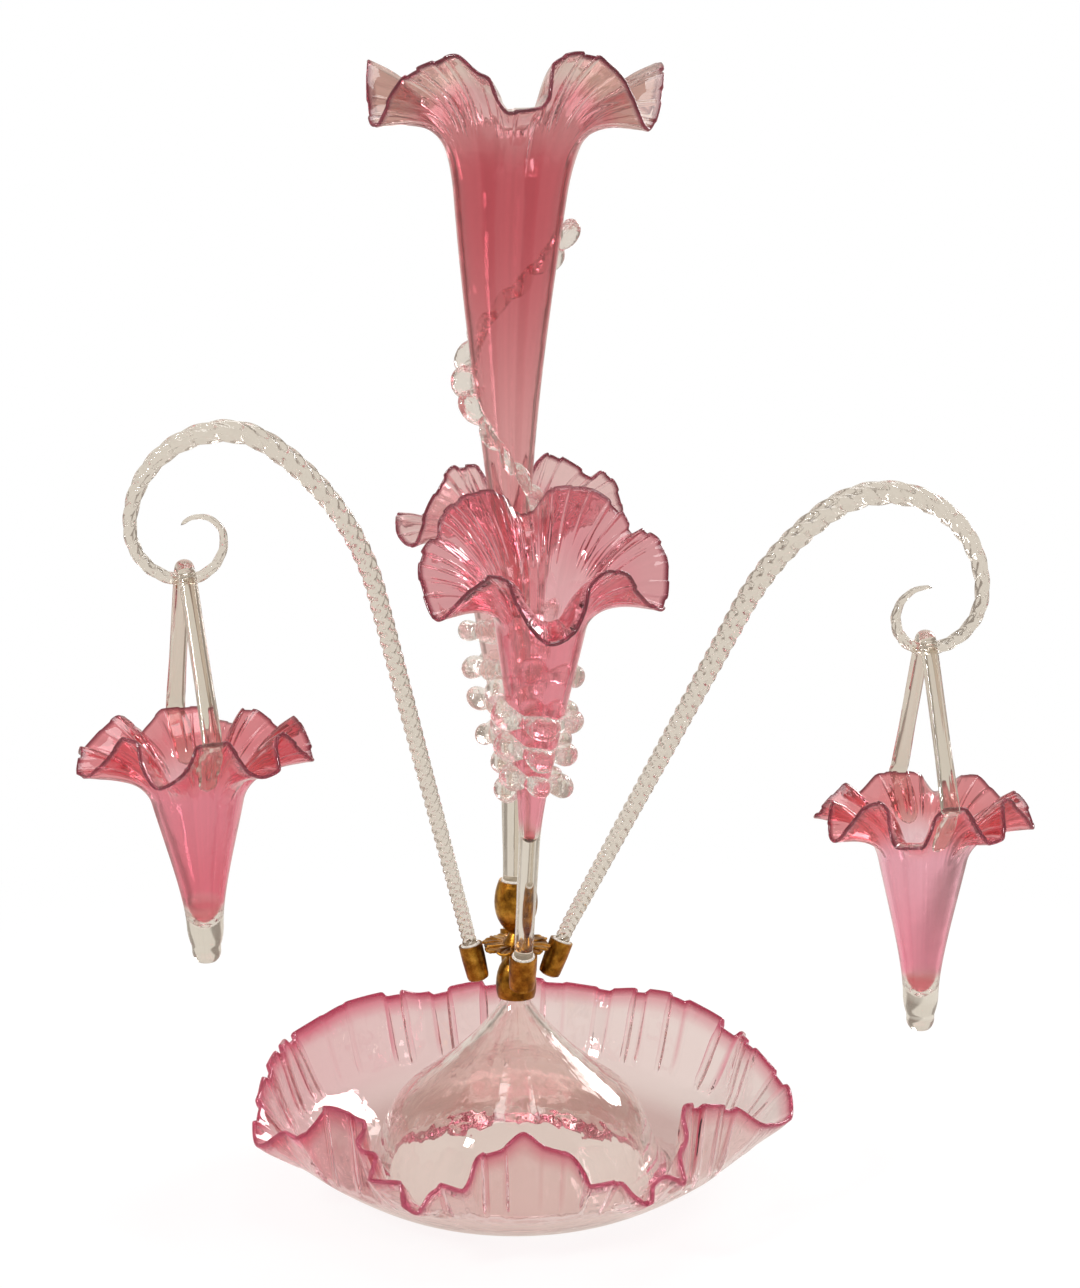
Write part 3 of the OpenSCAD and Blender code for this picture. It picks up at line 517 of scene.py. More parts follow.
def cased_tint(f, foot_z, throat_z, core, low_rose, high_rose, frill_rose, edge_rose):
    """Rose glass cased in clear: clear below the hollow, rose in body and frill, and dark at its edge and
    along the sides of its folds, which is painted shade.
    """
    def tint(rows, a):
        z, t, q = rows[:, 1], rows[:, 2], rows[:, 3]
        frill = np.clip(t, 0, 1)
        rise = smooth(foot_z + core - 6, foot_z + core, z + 1.5 * np.sin(a))
        rose = blend(low_rose, high_rose, smooth(0.7 * foot_z + 0.3 * throat_z, throat_z, z))
        cased = rose * rose / INSIDE
        colours = np.where((q > 90)[:, None], blend(CORE_ROSE, INSIDE, rise), blend(CLEAR, cased, rise))
        colours = blend(colours, frill_rose, smooth(0.1, 0.6, frill))
        colours = blend(colours, edge_rose, smooth(0.62, 0.85, frill))
        colours[:, :3] *= 1 + 0.01 * (np.sin(23 * a + 1) + np.sin(47 * a + 2) + np.sin(83 * a))[:, None]
        # Painted shade along the steep sides of the folds, then a dark painted line at the rim
        colours = blend(colours, FRILL_RIM_AND_CREASE_SHADE, 0.3 * creases(f, frill, a))
        colours = blend(colours, FRILL_RIM_AND_CREASE_SHADE, smooth(0.965, 1.0, frill))
        return np.clip(colours, 0, 1)
    return tint


def hollow_rows(foot, throat, floor, blunt):
    """Inside of a blown body, from the throat down to its rounded end."""
    outer = bez(body_curve(foot, throat), np.linspace(0, 1, 25))
    inner = [p - [BELL_WALL, 0] for p in outer if p[1] > floor + blunt * (p[0] - BELL_WALL)]
    end_r, end_z = inner[0]
    rows = [[p[0], p[1], -1, 180] for p in inner[-2::-1]]
    for b in range(80, -1, -10):
        c, s = math.cos(math.radians(b)), math.sin(math.radians(b))
        rows.append([end_r * s, end_z - (end_z - floor) * c, -1, 180])
    return rows


def body_rows(foot, throat):
    """Outside of a blown body above its foot, up to the throat."""
    return [[p[0], p[1], -1, 0] for p in bez(body_curve(foot, throat), np.linspace(0, 1, 25))[1:]]


def trumpet(name, stem_r, foot_z, throat, f, roses, place, bend=None):
    """A drawn clear stem that opens into a blown, cased body with a frilled edge."""
    foot_r = stem_r + STEM_SWELL
    foot = (foot_r, foot_z)
    swelling = [[stem_r, foot_z / 4], [stem_r, foot_z / 2], [foot_r, 0.7 * foot_z], [foot_r, foot_z]]
    stem = [[0, STEM_LOW], [stem_r - STEM_CHAMFER, STEM_LOW], [stem_r, STEM_LOW + STEM_CHAMFER], [stem_r, 0],
            *bez(swelling, np.linspace(0, 1, 9))]
    rows = [[*p, -1, 0] for p in stem]
    rows += body_rows(foot, throat) + flare_rows(f, BELL_WALL, TRUMPET_ROWS)
    rows += hollow_rows(foot, throat, foot_z + 4, 1.0)
    tint = cased_tint(f, foot_z, throat[1], TRUMPET_CORE, *roses)
    obj = blown(name + "_trumpet", rows, TRUMPET_STEPS, f, BELL_WALL, tint, bend)
    return put(obj, place, name + "_trumpet", "cranberry_glass", CRANBERRY, name + "_bell", name + "_stem")


def trail(name, foot, throat, low, high, turns, start, place, bend=None):
    """A cord of clear glass wound up the body and pinched into round leaves.

    Low and high are about its heights above the foot, and start is the angle of its lower end.
    """
    curve = body_curve(foot, throat)
    h = throat[1] - foot[1]
    mean_r = bez(curve, 0.5)[0] + TRAIL_CORD
    leaves = math.ceil(math.hypot(TAU * mean_r * turns, high - low) / LEAF_PITCH)
    rings = leaves * LEAF_RINGS

    def point(i, q):
        s = i / rings
        p = bez(curve, (low + (high - low) * s) / h)
        a = math.radians(start) - TAU * turns * s
        number = np.floor(leaves * s)
        off = (leaves * s - number - 0.5) * LEAF_PITCH
        swell = np.exp(-np.abs(off / LEAF_THICK) ** 3) * (0.92 + 0.12 * np.sin(2.4 * number + 0.6))
        end = np.sqrt(np.clip(np.minimum(s, 1 - s) * rings / 5, 0, 1))
        reach = (TRAIL_CORD + swell * (LEAF_REACH - TRAIL_CORD)) * end
        rise = (TRAIL_RISE + swell * (LEAF_RISE - TRAIL_RISE)) * end
        out = np.cos(q)
        r = p[:, 0] + 0.5 * TRAIL_GAP + reach + reach * out
        lean = 0.9 * np.sin(1.7 * number + 0.4) * swell * (out + 1)
        z = p[:, 1] + rise * np.sign(np.sin(q)) * np.abs(np.sin(q)) ** np.where(out < 0, 0.6, 1) + lean
        x = r * np.cos(a)
        if bend is not None:
            x = x + bend(z)
        return np.stack([x, r * np.sin(a), z], -1)

    obj = rolled(name + "_leaf_trail", rings, TRAIL_SIDES, point)
    return put(obj, place, name + "_trumpet", "clear_glass", PINCHED_GLASS, name + "_trail")


CENTRE_FOOT, CENTRE_THROAT, CENTRE_RIM = 126.0, 322.0, 368.0
SIDE_FOOT, SIDE_THROAT, SIDE_RIM = 60.0, 176.0, 208.0
CENTRE_STEM_R, SIDE_STEM_R = 6.2, 4.5
CENTRE_BOW = 3.6
centre_low = (CENTRE_STEM_R + STEM_SWELL, CENTRE_FOOT)
centre_high = (25.8, CENTRE_THROAT)
side_low = (SIDE_STEM_R + STEM_SWELL, SIDE_FOOT)
side_high = (20.5, SIDE_THROAT)


def centre_bend(z):
    """The blown body stands a little to the left of its stem and comes back at the rim."""
    s = np.clip((z - CENTRE_FOOT) / (CENTRE_RIM - CENTRE_FOOT), 0, 1)
    return -CENTRE_BOW * np.sin(math.pi * s)


# Frilled edges as [angle, out, up] from the mean edge, taken along each crest, dip and fold
CENTRE_EDGE = [
    [-180, 0, 14], [-154, 3, -13], [-143, 1, 2], [-137, 0, 8.5], [-122, -1, 15.5], [-114, -2, 18],
    [-104, -1, 10.5], [-100, 0, 8.5], [-96, 1, -1], [-92, 1, -5.5], [-80, 1, -4], [-76.5, 0, 1],
    [-74.5, -1.5, 15], [-64, -2, 19], [-56, -1, 17.5], [-51, 0, 13.5], [-44, 0, 8], [-30, 3, -14.5],
    [-3, 1, 10], [12, 1, 13], [30, 2, -10], [56, -1, 12], [74, 0, -10], [102, 0, -11], [122, -1, 12],
    [150, 2, -12]]
FRONT_EDGE = [
    [-174, 0, -1], [-165, -1, 11], [-150, 0, 13], [-125, 1, 9], [-112, -2, 4], [-104, -1, 7], [-90, 4, 5],
    [-75, 8, -2], [-60, 9, -12], [-46, 2, 5], [-38, -2, 12], [-30, -4, 11], [-24, -3, 2], [-5, 5, -12.5],
    [5, 3, -9], [12, 0, 2], [15, -3, 9], [27, -4, 14.5], [38, -2, 11], [45, 0, 2], [60, 6, -11.5],
    [80, 4, 1], [95, 1, 7], [105, -1, 7], [115, -1, 1], [130, 1, 8], [150, 1, 13.5], [168, 0, 11],
    [177, 0, -1]]
BACK_EDGE = [
    [-180, 4, -9], [-165, -1, 13], [-158, -2, 17], [-140, -1, 12], [-130, 2, 7], [-124, 3, 10],
    [-112, 5, 6], [-95, 6, -6], [-60, 4, -8], [-30, -3, 11], [0, 4, -8], [30, -3, 11], [60, 4, -8],
    [80, 3, -5], [95, 4, -9], [108, 6, -18], [120, 5, -24], [133, 2, -4], [146, -2, 12], [158, -3, 12],
    [168, -1, 2]]
centre_frill = dict(curve=flare_curve(centre_low, centre_high, (65.5, CENTRE_RIM), 0.75), edge=CENTRE_EDGE,
                    folds=24, wide=0.5, fold=0.9, notch=0.8, ridge=0.5, seed=0.7, start=0.3)
side_frill = dict(curve=flare_curve(side_low, side_high, (50, SIDE_RIM), 0.5), edge=FRONT_EDGE,
                  folds=24, wide=0.45, fold=1.1, notch=0.9, ridge=0.6, seed=1.9, start=0.35)
back_frill = dict(side_frill, edge=BACK_EDGE, seed=4.1)
at_centre = Matrix.Translation((0, 0, HOLDER_Z))
at_front, at_back = at_socket(FRONT_AZ, SIDE_TILT), at_socket(BACK_AZ, SIDE_TILT)

trumpet("centre", CENTRE_STEM_R, CENTRE_FOOT, centre_high, centre_frill, CENTRE_ROSES, at_centre, centre_bend)
trumpet("front", SIDE_STEM_R, SIDE_FOOT, side_high, side_frill, FRONT_ROSES, at_front)
trumpet("back", SIDE_STEM_R, SIDE_FOOT, side_high, back_frill, BACK_ROSES, at_back)
trail("centre", centre_low, centre_high, 20, 184, 1.25, 90, at_centre, centre_bend)
trail("front", side_low, side_high, 32, 88, 3.52, -84, at_front)
trail("back", side_low, side_high, 33, 96, 4, 240, at_back)


# Bowl


def run(curves):
    """Points along tangent curves, each given as four control points."""
    parts = [bez(c, np.linspace(0, 1, 11)[0 if k == 0 else 1:]) for k, c in enumerate(curves)]
    return np.concatenate(parts)


# Underside from the dome's hollow to the ground ring, and from there up the outside to the brim
DOME_UNDER = [
    [[3.4, 89.5], [7, 81.5], [20, 66.5], [41, 51]], [[41, 51], [48, 45.8], [53, 42.3], [57.4, 34.8]],
    [[57.4, 34.8], [64, 23.6], [64, 0], [69.5, 0]]]
WALL_OUTSIDE = [[[70.5, 0], [75.5, 0], [95.3, 12.6], [104.9, 19.8]]]
# Upper side from the brim down to the trough and up the flank of the dome
BOWL_INSIDE = [
    [[103.1, 22.2], [95.1, 16.2], [84, 7], [76, 6.2]], [[76, 6.2], [70.5, 5.5], [67.5, 22.5], [60.2, 36.3]],
    [[60.2, 36.3], [55.5, 45], [50, 48], [43, 53.3]], [[43, 53.3], [22.5, 69], [10, 84], [6.4, 91.5]]]

BOWL_EDGE_RUN = [
    [-172, 1, 0], [-166, 5, -4], [-157, 9, -14], [-148.5, 2, -2.9], [-145.2, 1, -3.2], [-142.3, -3, 4.5],
    [-140, -7, 13], [-135.1, -8, 14.2], [-127.5, -7, 13.8], [-126, -3, 11], [-124.8, 3, 7],
    [-123.5, 4, 4.5], [-121.3, -1, 1.1], [-120.3, 8, -7], [-114.2, 5, -6.8], [-112.2, 10, -14.3],
    [-109.8, 11, -15.9], [-107.7, 6, -8], [-105.6, 4, -5.7], [-100.9, 5, -7.2], [-99.6, 2, -3.5],
    [-99, -1.5, 2.4], [-98.2, -4, 5.6], [-93.2, -6, 8.9], [-88.4, -9, 14.9], [-84.3, -7, 9.8],
    [-78.2, -4, 5.5], [-75.9, 1, -1.2], [-74.9, 4, -6.5], [-68.1, 4, -5.8], [-65.9, 8, -11.5],
    [-63.2, 11, -15.6], [-61.4, 6, -9.6], [-58.5, 5, -7.4], [-53.8, 8, -11], [-53, 3, -4.6],
    [-52.2, 0, -0.6], [-49.5, -3, 5.2], [-48.4, -8, 12.4], [-46.5, -10, 16], [-38.8, -8, 12.3],
    [-28.8, -5, 5], [-21.5, 4, -7], [-13, 11, -9], [-5, 9, -3], [2, 4, 0], [10, -3, 6], [18, -4, 7],
    [25, 2, 4], [38, 0, 8], [48, -3, 12], [60, 0, 9], [68, 2, 6], [79, 0, 8], [90, -2, 11], [104, 0, 7],
    [113, 2, 4], [121, -1, 9], [135, -3, 10], [148, 0, 5], [155, 2, 3], [168, -3, 6]]
bowl_frill = dict(curve=[BRIM, BRIM + BRIM_RUN, EDGE - EDGE_RUN, EDGE], edge=BOWL_EDGE_RUN,
                  folds=26, wide=0.6, fold=2.2, notch=2.2, ridge=0.7, seed=2.6, start=0.1)


def bowl_tint(rows, a):
    """Clear in the middle, rose towards the frilled edge, which is darkest with painted shade; the left side
    is rosier, and painted shade darkens the outer wall under the brim and the sides of the folds.
    """
    r, t = rows[:, 0], np.clip(rows[:, 2], 0, 1)
    outside = (rows[:, 2] < 0) & (rows[:, 3] == 0)
    left = (0.5 - 0.5 * np.cos(a)) ** 2
    colours = blend(BOWL_CLEAR, BOWL_FLANK, smooth(18, 48, r))
    colours = blend(colours, BOWL_LOBE, smooth(64, 112, r))
    # Painted shade with some rose on the outer wall under the brim
    colours = blend(colours, BOWL_WALL_ROSE_AND_SHADE, outside * smooth(62, 76, r) * smooth(105, 88, r))
    colours = blend(colours, BOWL_PINK_AND_CREASE_SHADE, 0.42 * left * smooth(84, 112, r) + 0.68 * smooth(0.8, 0.99, t))
    # Painted shade: deeper rose on the steep sides of the folds
    colours = blend(colours, BOWL_PINK_AND_CREASE_SHADE, 0.8 * creases(bowl_frill, t, a) * smooth(0.1, 0.6, t))
    # The rim: deep rose with painted shade
    return blend(colours, BOWL_RIM_ROSE_AND_SHADE, smooth(0.965, 1.0, t))


def base_bowl():
    """One blown sheet: frilled brim, ground ring and a tall dome whose closed tip enters the mount."""
    tip = [[TIP_R, DOME_TOP - 1], [TIP_R - 1, DOME_TOP], [0, DOME_TOP]]
    under = [[0, DOME_TOP - BOWL_WALL], [TIP_R - BOWL_WALL, DOME_TOP - BOWL_WALL]]
    rows = [[*p, -1, 0] for p in [*under, *run(DOME_UNDER), *run(WALL_OUTSIDE)[:-1]]]
    rows += [[*WALL_OUTSIDE[0][3], 0, 0]] + flare_rows(bowl_frill, BOWL_WALL, BOWL_ROWS)[:-1]
    rows += [[*BOWL_INSIDE[0][0], 0, 180]] + [[*p, -1, 180] for p in [*run(BOWL_INSIDE)[1:], *tip]]
    obj = blown("frilled_bowl", rows, BOWL_STEPS, bowl_frill, BOWL_WALL, bowl_tint)
    return put(obj, Matrix.Identity(4), "stand", "bowl_glass", BOWL_GLASS, "base_bowl")


base_bowl()


# Canes


def cane_runs(tilt, lean, straight, shoulder, crown, outer, hook, curl, tip, turn):
    """Tangent bends in one upright plane as [from, to, radius]; a straight run has a length instead."""
    return [[tilt, lean, ROOT_BEND], [lean, lean, straight], [lean, CROWN_FROM, shoulder],
            [CROWN_FROM, 90, crown], [90, 180, outer], [180, 270, hook], [270, 360, curl], [360, turn, tip]]


def run_length(g):
    """Length of one bend or straight run."""
    return g[2] if g[0] == g[1] else g[2] * math.radians(g[1] - g[0])


def run_points(g, share):
    """Places along one run, at these shares of its length, from its start."""
    a, b = math.radians(g[0]), np.radians(g[0] + (g[1] - g[0]) * share)
    if g[0] == g[1]:
        return g[2] * share[:, None] * np.array([math.sin(a), math.cos(a)])
    return g[2] * np.stack([math.cos(a) - np.cos(b), np.sin(b) - math.sin(a)], -1)


def cane_line(runs, spacing):
    """Places, directions and lengths along a cane from the socket's mouth to the tip of its curl."""
    at, length = np.zeros(2), 0.0
    places, turns, lengths = [np.zeros((1, 2))], [np.array([runs[0][0]], float)], [np.zeros(1)]
    for g in runs:
        n = max(4, int(round(run_length(g) / spacing)))
        share = np.arange(1, n + 1) / n
        places.append(at + run_points(g, share))
        turns.append(g[0] + (g[1] - g[0]) * share)
        lengths.append(length + run_length(g) * share)
        at, length = places[-1][-1], lengths[-1][-1]
    return np.concatenate(places), np.concatenate(turns), np.concatenate(lengths)


def hook_point(runs):
    """Lowest place of the crook, where the basket hangs."""
    at = np.zeros(2)
    for g in runs[:6]:
        at = at + run_points(g, np.ones(1))[0]
    return at


def cane(name, az, runs, radii, pitches):
    """A clear rod, ribbed and twisted while hot, bent to a crook and drawn out to a curl."""
    places, turns, lengths = cane_line(runs, CANE_STEP)
    root = np.arange(STEM_LOW, 0, CANE_STEP)
    lean = math.radians(runs[0][0])
    places = np.concatenate([root[:, None] * [math.sin(lean), math.cos(lean)], places])
    turns = np.concatenate([np.full(len(root), runs[0][0]), turns])
    lengths = np.concatenate([root, lengths])
    ends = np.cumsum([run_length(g) for g in runs])
    stops = [0, 25, ends[2], ends[3], ends[4], ends[5], ends[6], ends[7]]
    radius = np.interp(lengths, stops, radii)
    pitch = np.interp(lengths, [0, ends[1], ends[3], ends[5]], pitches)
    twist = np.concatenate([[0], np.cumsum(np.diff(lengths) * TAU / pitch[1:])])
    count = len(lengths)
    near = np.minimum(np.arange(count), np.arange(count)[::-1])
    radius = radius * np.sqrt(np.clip(near / 2.0, 0, 1))

    def point(i, q):
        a = np.radians(turns[i])
        wave = np.cos(CANE_RIBS * q)
        r = radius[i] * (1 - RIB_DEPTH * (1 - wave))
        side = q + twist[i]
        out = r * np.cos(side)
        x, z = places[i, 0] + out * np.cos(a), places[i, 1] - out * np.sin(a)
        return np.stack([x, r * np.sin(side), z], -1)

    obj = rolled(name + "_twisted_cane", count - 1, CANE_RIBS * 8, point)
    place = turned("Z", az) @ Matrix.Translation((RING_R, 0, MOUTH_Z))
    return put(obj, place, name + "_arm", "clear_glass", TWISTED_GLASS, name + "_cane")


left_runs = cane_runs(LEFT_TILT, 14, 175, 123, 35, 43.5, 24.5, 18, 11, 500)
right_runs = cane_runs(RIGHT_TILT, 28.5, 170, 132, 48, 49, 27, 15, 15, 460)
cane("left", LEFT_AZ, left_runs, [3.6, 3.7, 5.4, 5.5, 3.3, 2.95, 2.0, 0.9], [17, 30, 60, 40])
cane("right", RIGHT_AZ, right_runs, [3.6, 4.0, 6.0, 6.0, 3.7, 3.1, 2.6, 0.9], [17, 34, 60, 40])


# Hanging baskets


def at_hook(az, runs, hang, turn):
    """Centre of the crook's rod at the hook, Z straight up but for the basket's slight hang and turn."""
    p = hook_point(runs)
    return (turned("Z", az) @ Matrix.Translation((RING_R + p[0], 0, MOUTH_Z + p[1])) @ turned("Z", turn)
            @ turned("Y", hang))


LEFT_EDGE = [
    [-172, -2, 9], [-163, 2, 1], [-155, 4, -4], [-146, -1, 3], [-138, -4, 8], [-130, -4, 8],
    [-122, 3, -1], [-112, 0, 1], [-105, -4, 8.5], [-82, -4, 9], [-75, 0, 2], [-68, 3, -4], [-60, -2, 6],
    [-52, -3, 10], [-42, -1, 6], [-26, 4, -2], [-15, 2, 2], [-5, 1, 5], [8, 5, -3.5], [18, 5, -3],
    [28, 1, 5], [33, -3, 12], [38, -4, 16], [47, -4, 15], [52, 0, 6], [62, 4, -3.5], [74, 1, 2],
    [78, -2, 7], [82, -5, 13], [99, -5, 13.5], [103, -1, 7], [108, 3, -1], [114, 4, -3], [124, 3, -2],
    [129, -2, 8], [136, -3, 12], [144, 0, 6], [158, 4, -5], [176, -1, 7]]
RIGHT_EDGE = [
    [-180, -3, 7], [-165, 3, -4], [-157, 5, -7], [-148, 2, 2], [-141, -3, 12], [-133, -4, 14],
    [-127, -3, 11], [-124, 0, 2], [-118, 4, -4.5], [-106, 4, -4], [-101, 0, 3], [-98, -3, 9],
    [-90, -4, 12.5], [-80, -4, 12], [-75, -1, 6], [-68, 4, -4], [-60, 4, -3], [-52, -2, 9], [-44, -4, 12],
    [-34, 0, 5], [-22, 4, -6], [-10, 1, 2], [0, -3, 7], [14, 3, -3], [24, 4, -5], [38, -4, 8],
    [48, -4, 7], [60, 1, 0], [68, 4, -5], [78, -3, 6], [90, -4, 7.5], [104, -4, 7.5], [112, 3, -3],
    [120, 4, -5], [133, -4, 6], [146, 0, 0], [158, 4, -6], [170, -1, 3]]


def basket_frill(drop, height, rim_r, edge, seed):
    """Foot and throat of a basket's body, and its frill."""
    low, high = (BASKET_FOOT_R, -drop - height), (BASKET_THROAT_R, -drop - BASKET_THROAT_DEPTH)
    return low, high, dict(curve=flare_curve(low, high, (rim_r, -drop), 0.5), edge=edge, folds=24, wide=0.5,
                           fold=0.8, notch=0.5, ridge=0.5, seed=seed, start=0.35)


def basket(name, sizes, roses, place):
    """A blown, cased cone with a frilled edge, and a clear knop with a collar below."""
    low, high, f = basket_frill(**sizes)
    foot_z = low[1]
    # The ball is cut flat 50 degrees below its middle, and 0.766 is the sine of that
    ball_z = foot_z + 0.766 * KNOP_R - KNOP_H
    rows = [[0, foot_z - KNOP_H, -1, 0]]
    rows += [[KNOP_R * math.cos(math.radians(b)), ball_z + KNOP_R * math.sin(math.radians(b)), -1, 0]
             for b in range(-50, 13, 8)]
    rows += [[KNOP_R + 0.1, foot_z - 0.5 * KNOP_H, -1, 0], [KNOP_R + 0.4, foot_z - 0.44 * KNOP_H, -1, 0],
             [BASKET_FOOT_R - 0.9, foot_z - 0.34 * KNOP_H, -1, 0],
             [BASKET_FOOT_R - 0.4, foot_z - 0.2 * KNOP_H, -1, 0], [BASKET_FOOT_R, foot_z, -1, 0]]
    rows += body_rows(low, high) + flare_rows(f, BELL_WALL, BASKET_ROWS)
    rows += hollow_rows(low, high, foot_z + 1, 1.7)
    tint = cased_tint(f, foot_z, high[1], BASKET_CORE, *roses)
    obj = blown(name + "_frilled_basket", rows, BASKET_STEPS, f, BELL_WALL, tint)
    return put(obj, place, name + "_hanging_basket", "cranberry_glass", CRANBERRY,
               name + "_basket", name + "_knop")


# Middle line of a handle's pad as (t, wrap): up the outside of the frill, then over its rim in degrees
PAD_LINE = [(t, 0.0) for t in np.linspace(0.3, 1, 20)] + [(1.0, wrap) for wrap in (15, 30, 45, 60, 75, 90)]


def pad_rings(f, side, angles):
    """Rings of a flat pad pressed on the frill, from its rounded lower end to the top of the rim."""
    rings = []
    for n, (t, wrap) in enumerate(PAD_LINE):
        flat = math.sqrt(1 - (1 - min(n / 7, 1)) ** 2)
        middle = frill_point(f, np.array([t]), np.array([math.radians(side)]))[0]
        half = PAD_W + (STRAP_END - PAD_W) * smooth(0.75, 1, t)
        a = math.radians(side) + half / math.hypot(middle[0], middle[1]) * np.cos(angles) * flat
        along, w = np.full_like(a, t), math.radians(wrap)
        off = PAD_MID + PAD_T / 2 * np.sin(angles) * flat
        out = math.cos(w) * frill_normal(f, along, a) + math.sin(w) * frill_along(f, a)
        rings.append(frill_point(f, along, a) + off[:, None] * out)
    return rings


def strap_rings(f, side, angles):
    """Rings from the top of a pad to the loop, flat below and round above, and the strap's lean."""
    a = np.array([math.radians(side)])
    foot = (frill_point(f, np.ones(1), a) + PAD_MID * frill_along(f, a))[0]
    sign = math.sin(math.radians(side))
    lean = math.atan2(abs(foot[1]), -foot[2]) - math.asin(LOOP_R / math.hypot(foot[1], foot[2]))
    top = LOOP_R * np.array([0, sign * math.cos(lean), math.sin(lean)])
    across = np.cross(unit(top - foot), [1, 0, 0])
    ridge = 1 + 0.06 * np.cos(8 * angles)
    rings = []
    for s in np.linspace(0.05, 1, 24):
        w = STRAP_END + (STRAP_W - STRAP_END) * smooth(0, 0.4, s)
        h = PAD_T / 2 + (0.8 * HANDLE_R - PAD_T / 2) * smooth(0, 0.8, s)
        centre = foot + (top - foot) * s
        rings.append(centre + (w * ridge * np.cos(angles))[:, None] * np.array([1, 0, 0])
                     + (h * ridge * np.sin(angles))[:, None] * across * -sign)
    return rings, lean


def unwrung(rings):
    """The rings with every first point on the same side of the rod, so that the tube isn't wrung."""
    table = [rings[0]]
    for ring in rings[1:]:
        last = table[-1]
        ways = [np.roll(way, k, axis=0) for way in (ring, ring[::-1]) for k in range(len(ring))]
        costs = [np.sum((way - way.mean(0) - last + last.mean(0)) ** 2) for way in ways]
        table.append(ways[costs.index(min(costs))])
    return np.array(table)


def handle(name, sizes, place):
    """A clear rod looped over the cane; its ends are drawn flat and pressed over the edge of two lobes."""
    f = basket_frill(**sizes)[2]
    angles = TAU * np.arange(HANDLE_SIDES) / HANDLE_SIDES
    front, lean = strap_rings(f, -90, angles)
    back, _ = strap_rings(f, 90, angles)
    loop = []
    for b in np.linspace(180 - math.degrees(lean), math.degrees(lean), 30)[1:-1]:
        c, s = math.cos(math.radians(b)), math.sin(math.radians(b))
        reach = LOOP_R + HANDLE_R * np.sin(angles)
        loop.append(np.stack([STRAP_W * np.cos(angles), reach * c, reach * s], -1))
    table = unwrung(pad_rings(f, -90, angles) + front + loop + back[::-1] + pad_rings(f, 90, angles)[::-1])

    def point(i, q):
        k = np.rint(q / TAU * HANDLE_SIDES).astype(int) % HANDLE_SIDES
        return table[i, k]

    obj = rolled(name + "_looped_handle", len(table) - 1, HANDLE_SIDES, point)
    return put(obj, place, name + "_hanging_basket", "clear_glass", DRAWN_GLASS, name + "_handle")


left_sizes = dict(drop=80.5, height=86.5, rim_r=51, edge=LEFT_EDGE, seed=0.4)
right_sizes = dict(drop=79.5, height=94.5, rim_r=48.5, edge=RIGHT_EDGE, seed=3.3)
at_left = at_hook(LEFT_AZ, left_runs, 1.9, 8)
at_right = at_hook(RIGHT_AZ, right_runs, -0.7, 0)
basket("left", left_sizes, LEFT_ROSES, at_left)
handle("left", left_sizes, at_left)
basket("right", right_sizes, RIGHT_ROSES, at_right)
handle("right", right_sizes, at_right)


# Brass mount and plaster


def rosette():
    """Cast collar of cupped petals, each with a groove down its middle and raised sides."""
    fresh()
    rows, cols = 14, 10
    bpy.ops.mesh.primitive_grid_add(x_subdivisions=rows, y_subdivisions=cols, size=1, location=(0, 0, 0))
    obj = bpy.context.object
    obj.name = obj.data.name = "cast_rosette"
    co = coords(obj)
    s, v = co[:, 0] + 0.5, 2 * co[:, 1]
    half = PETAL_HALF * np.sqrt(np.clip(1 - (np.abs(s - 0.58) / 0.62) ** 2.6, 0.02, 1))
    reach = PETAL_ROOT + (ROSETTE_R - PETAL_ROOT) * s - 0.8 * v * v * smooth(0.6, 1, s)
    cup = 0.7 * np.abs(v) ** 1.5 * smooth(0.1, 0.5, s)
    groove = 0.25 * np.cos(3 * math.pi * v)
    lift = HUB_Z - 0.9 - 0.5 * s * s + cup + groove
    set_coords(obj, np.stack([reach, half * v, lift], -1))
    bpy.ops.object.mode_set(mode="EDIT")
    bpy.ops.mesh.select_all(action="SELECT")
    bpy.ops.mesh.normals_make_consistent(inside=False)
    bpy.ops.object.mode_set(mode="OBJECT")
    wall = obj.modifiers.new("casting", "SOLIDIFY")
    wall.thickness, wall.offset = PETAL_T, 0
    soft = obj.modifiers.new("rounding", "SUBSURF")
    soft.levels = soft.render_levels = 1
    for m in ("casting", "rounding"):
        bpy.ops.object.modifier_apply(modifier=m)
    petals = [obj]
    for _ in range(PETALS - 1):
        copy = obj.copy()
        copy.data = obj.data.copy()
        bpy.context.collection.objects.link(copy)
        petals.append(copy)
    sockets = (FRONT_AZ, BACK_AZ, LEFT_AZ, RIGHT_AZ)
    for k, petal in enumerate(petals):
        az = RIGHT_AZ + 360 * k / PETALS
        c = coords(petal)
        # A petal beside a socket is shorter
        near = min(abs((az - socket + 180) % 360 - 180) for socket in sockets)
        shrink = 0.86 if near < 12 else 1.0
        c[:, 0] = PETAL_ROOT + (c[:, 0] - PETAL_ROOT) * shrink
        c[:, 2] += 0.3 * math.sin(2.3 * k)
        set_coords(petal, c)
        petal.data.transform(turned("Z", az))
    hole = STUD_R + 0.1
    eye = [(hole, NECK_Z), (6.8, NECK_Z), (7.6, NECK_Z + 0.7), (7.4, HUB_Z - 0.4), (6.6, HUB_Z),
           (hole, HUB_Z), (hole, NECK_Z)]
    disc = spun("rosette_eye", eye, 64)
    fresh()
    for petal in petals + [disc]:
        petal.select_set(True)
    bpy.context.view_layer.objects.active = obj
    bpy.ops.object.join()
    return put(obj, Matrix.Identity(4), "stand", "aged_brass", BRASS, "rosette")


rosette()

for node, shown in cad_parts.items():
    if node.endswith("_bush") or node == "bowl_plaster":
        shown.data.materials.clear()
        shown.data.materials.append(PLASTER)
    elif node.endswith("_socket") or node in ("mount_cup", "centre_holder"):
        shown.data.materials.clear()
        shown.data.materials.append(BRASS)


# Stage: a pale table, white to the eye; the glass sees a beige room with dim panels; soft lamps


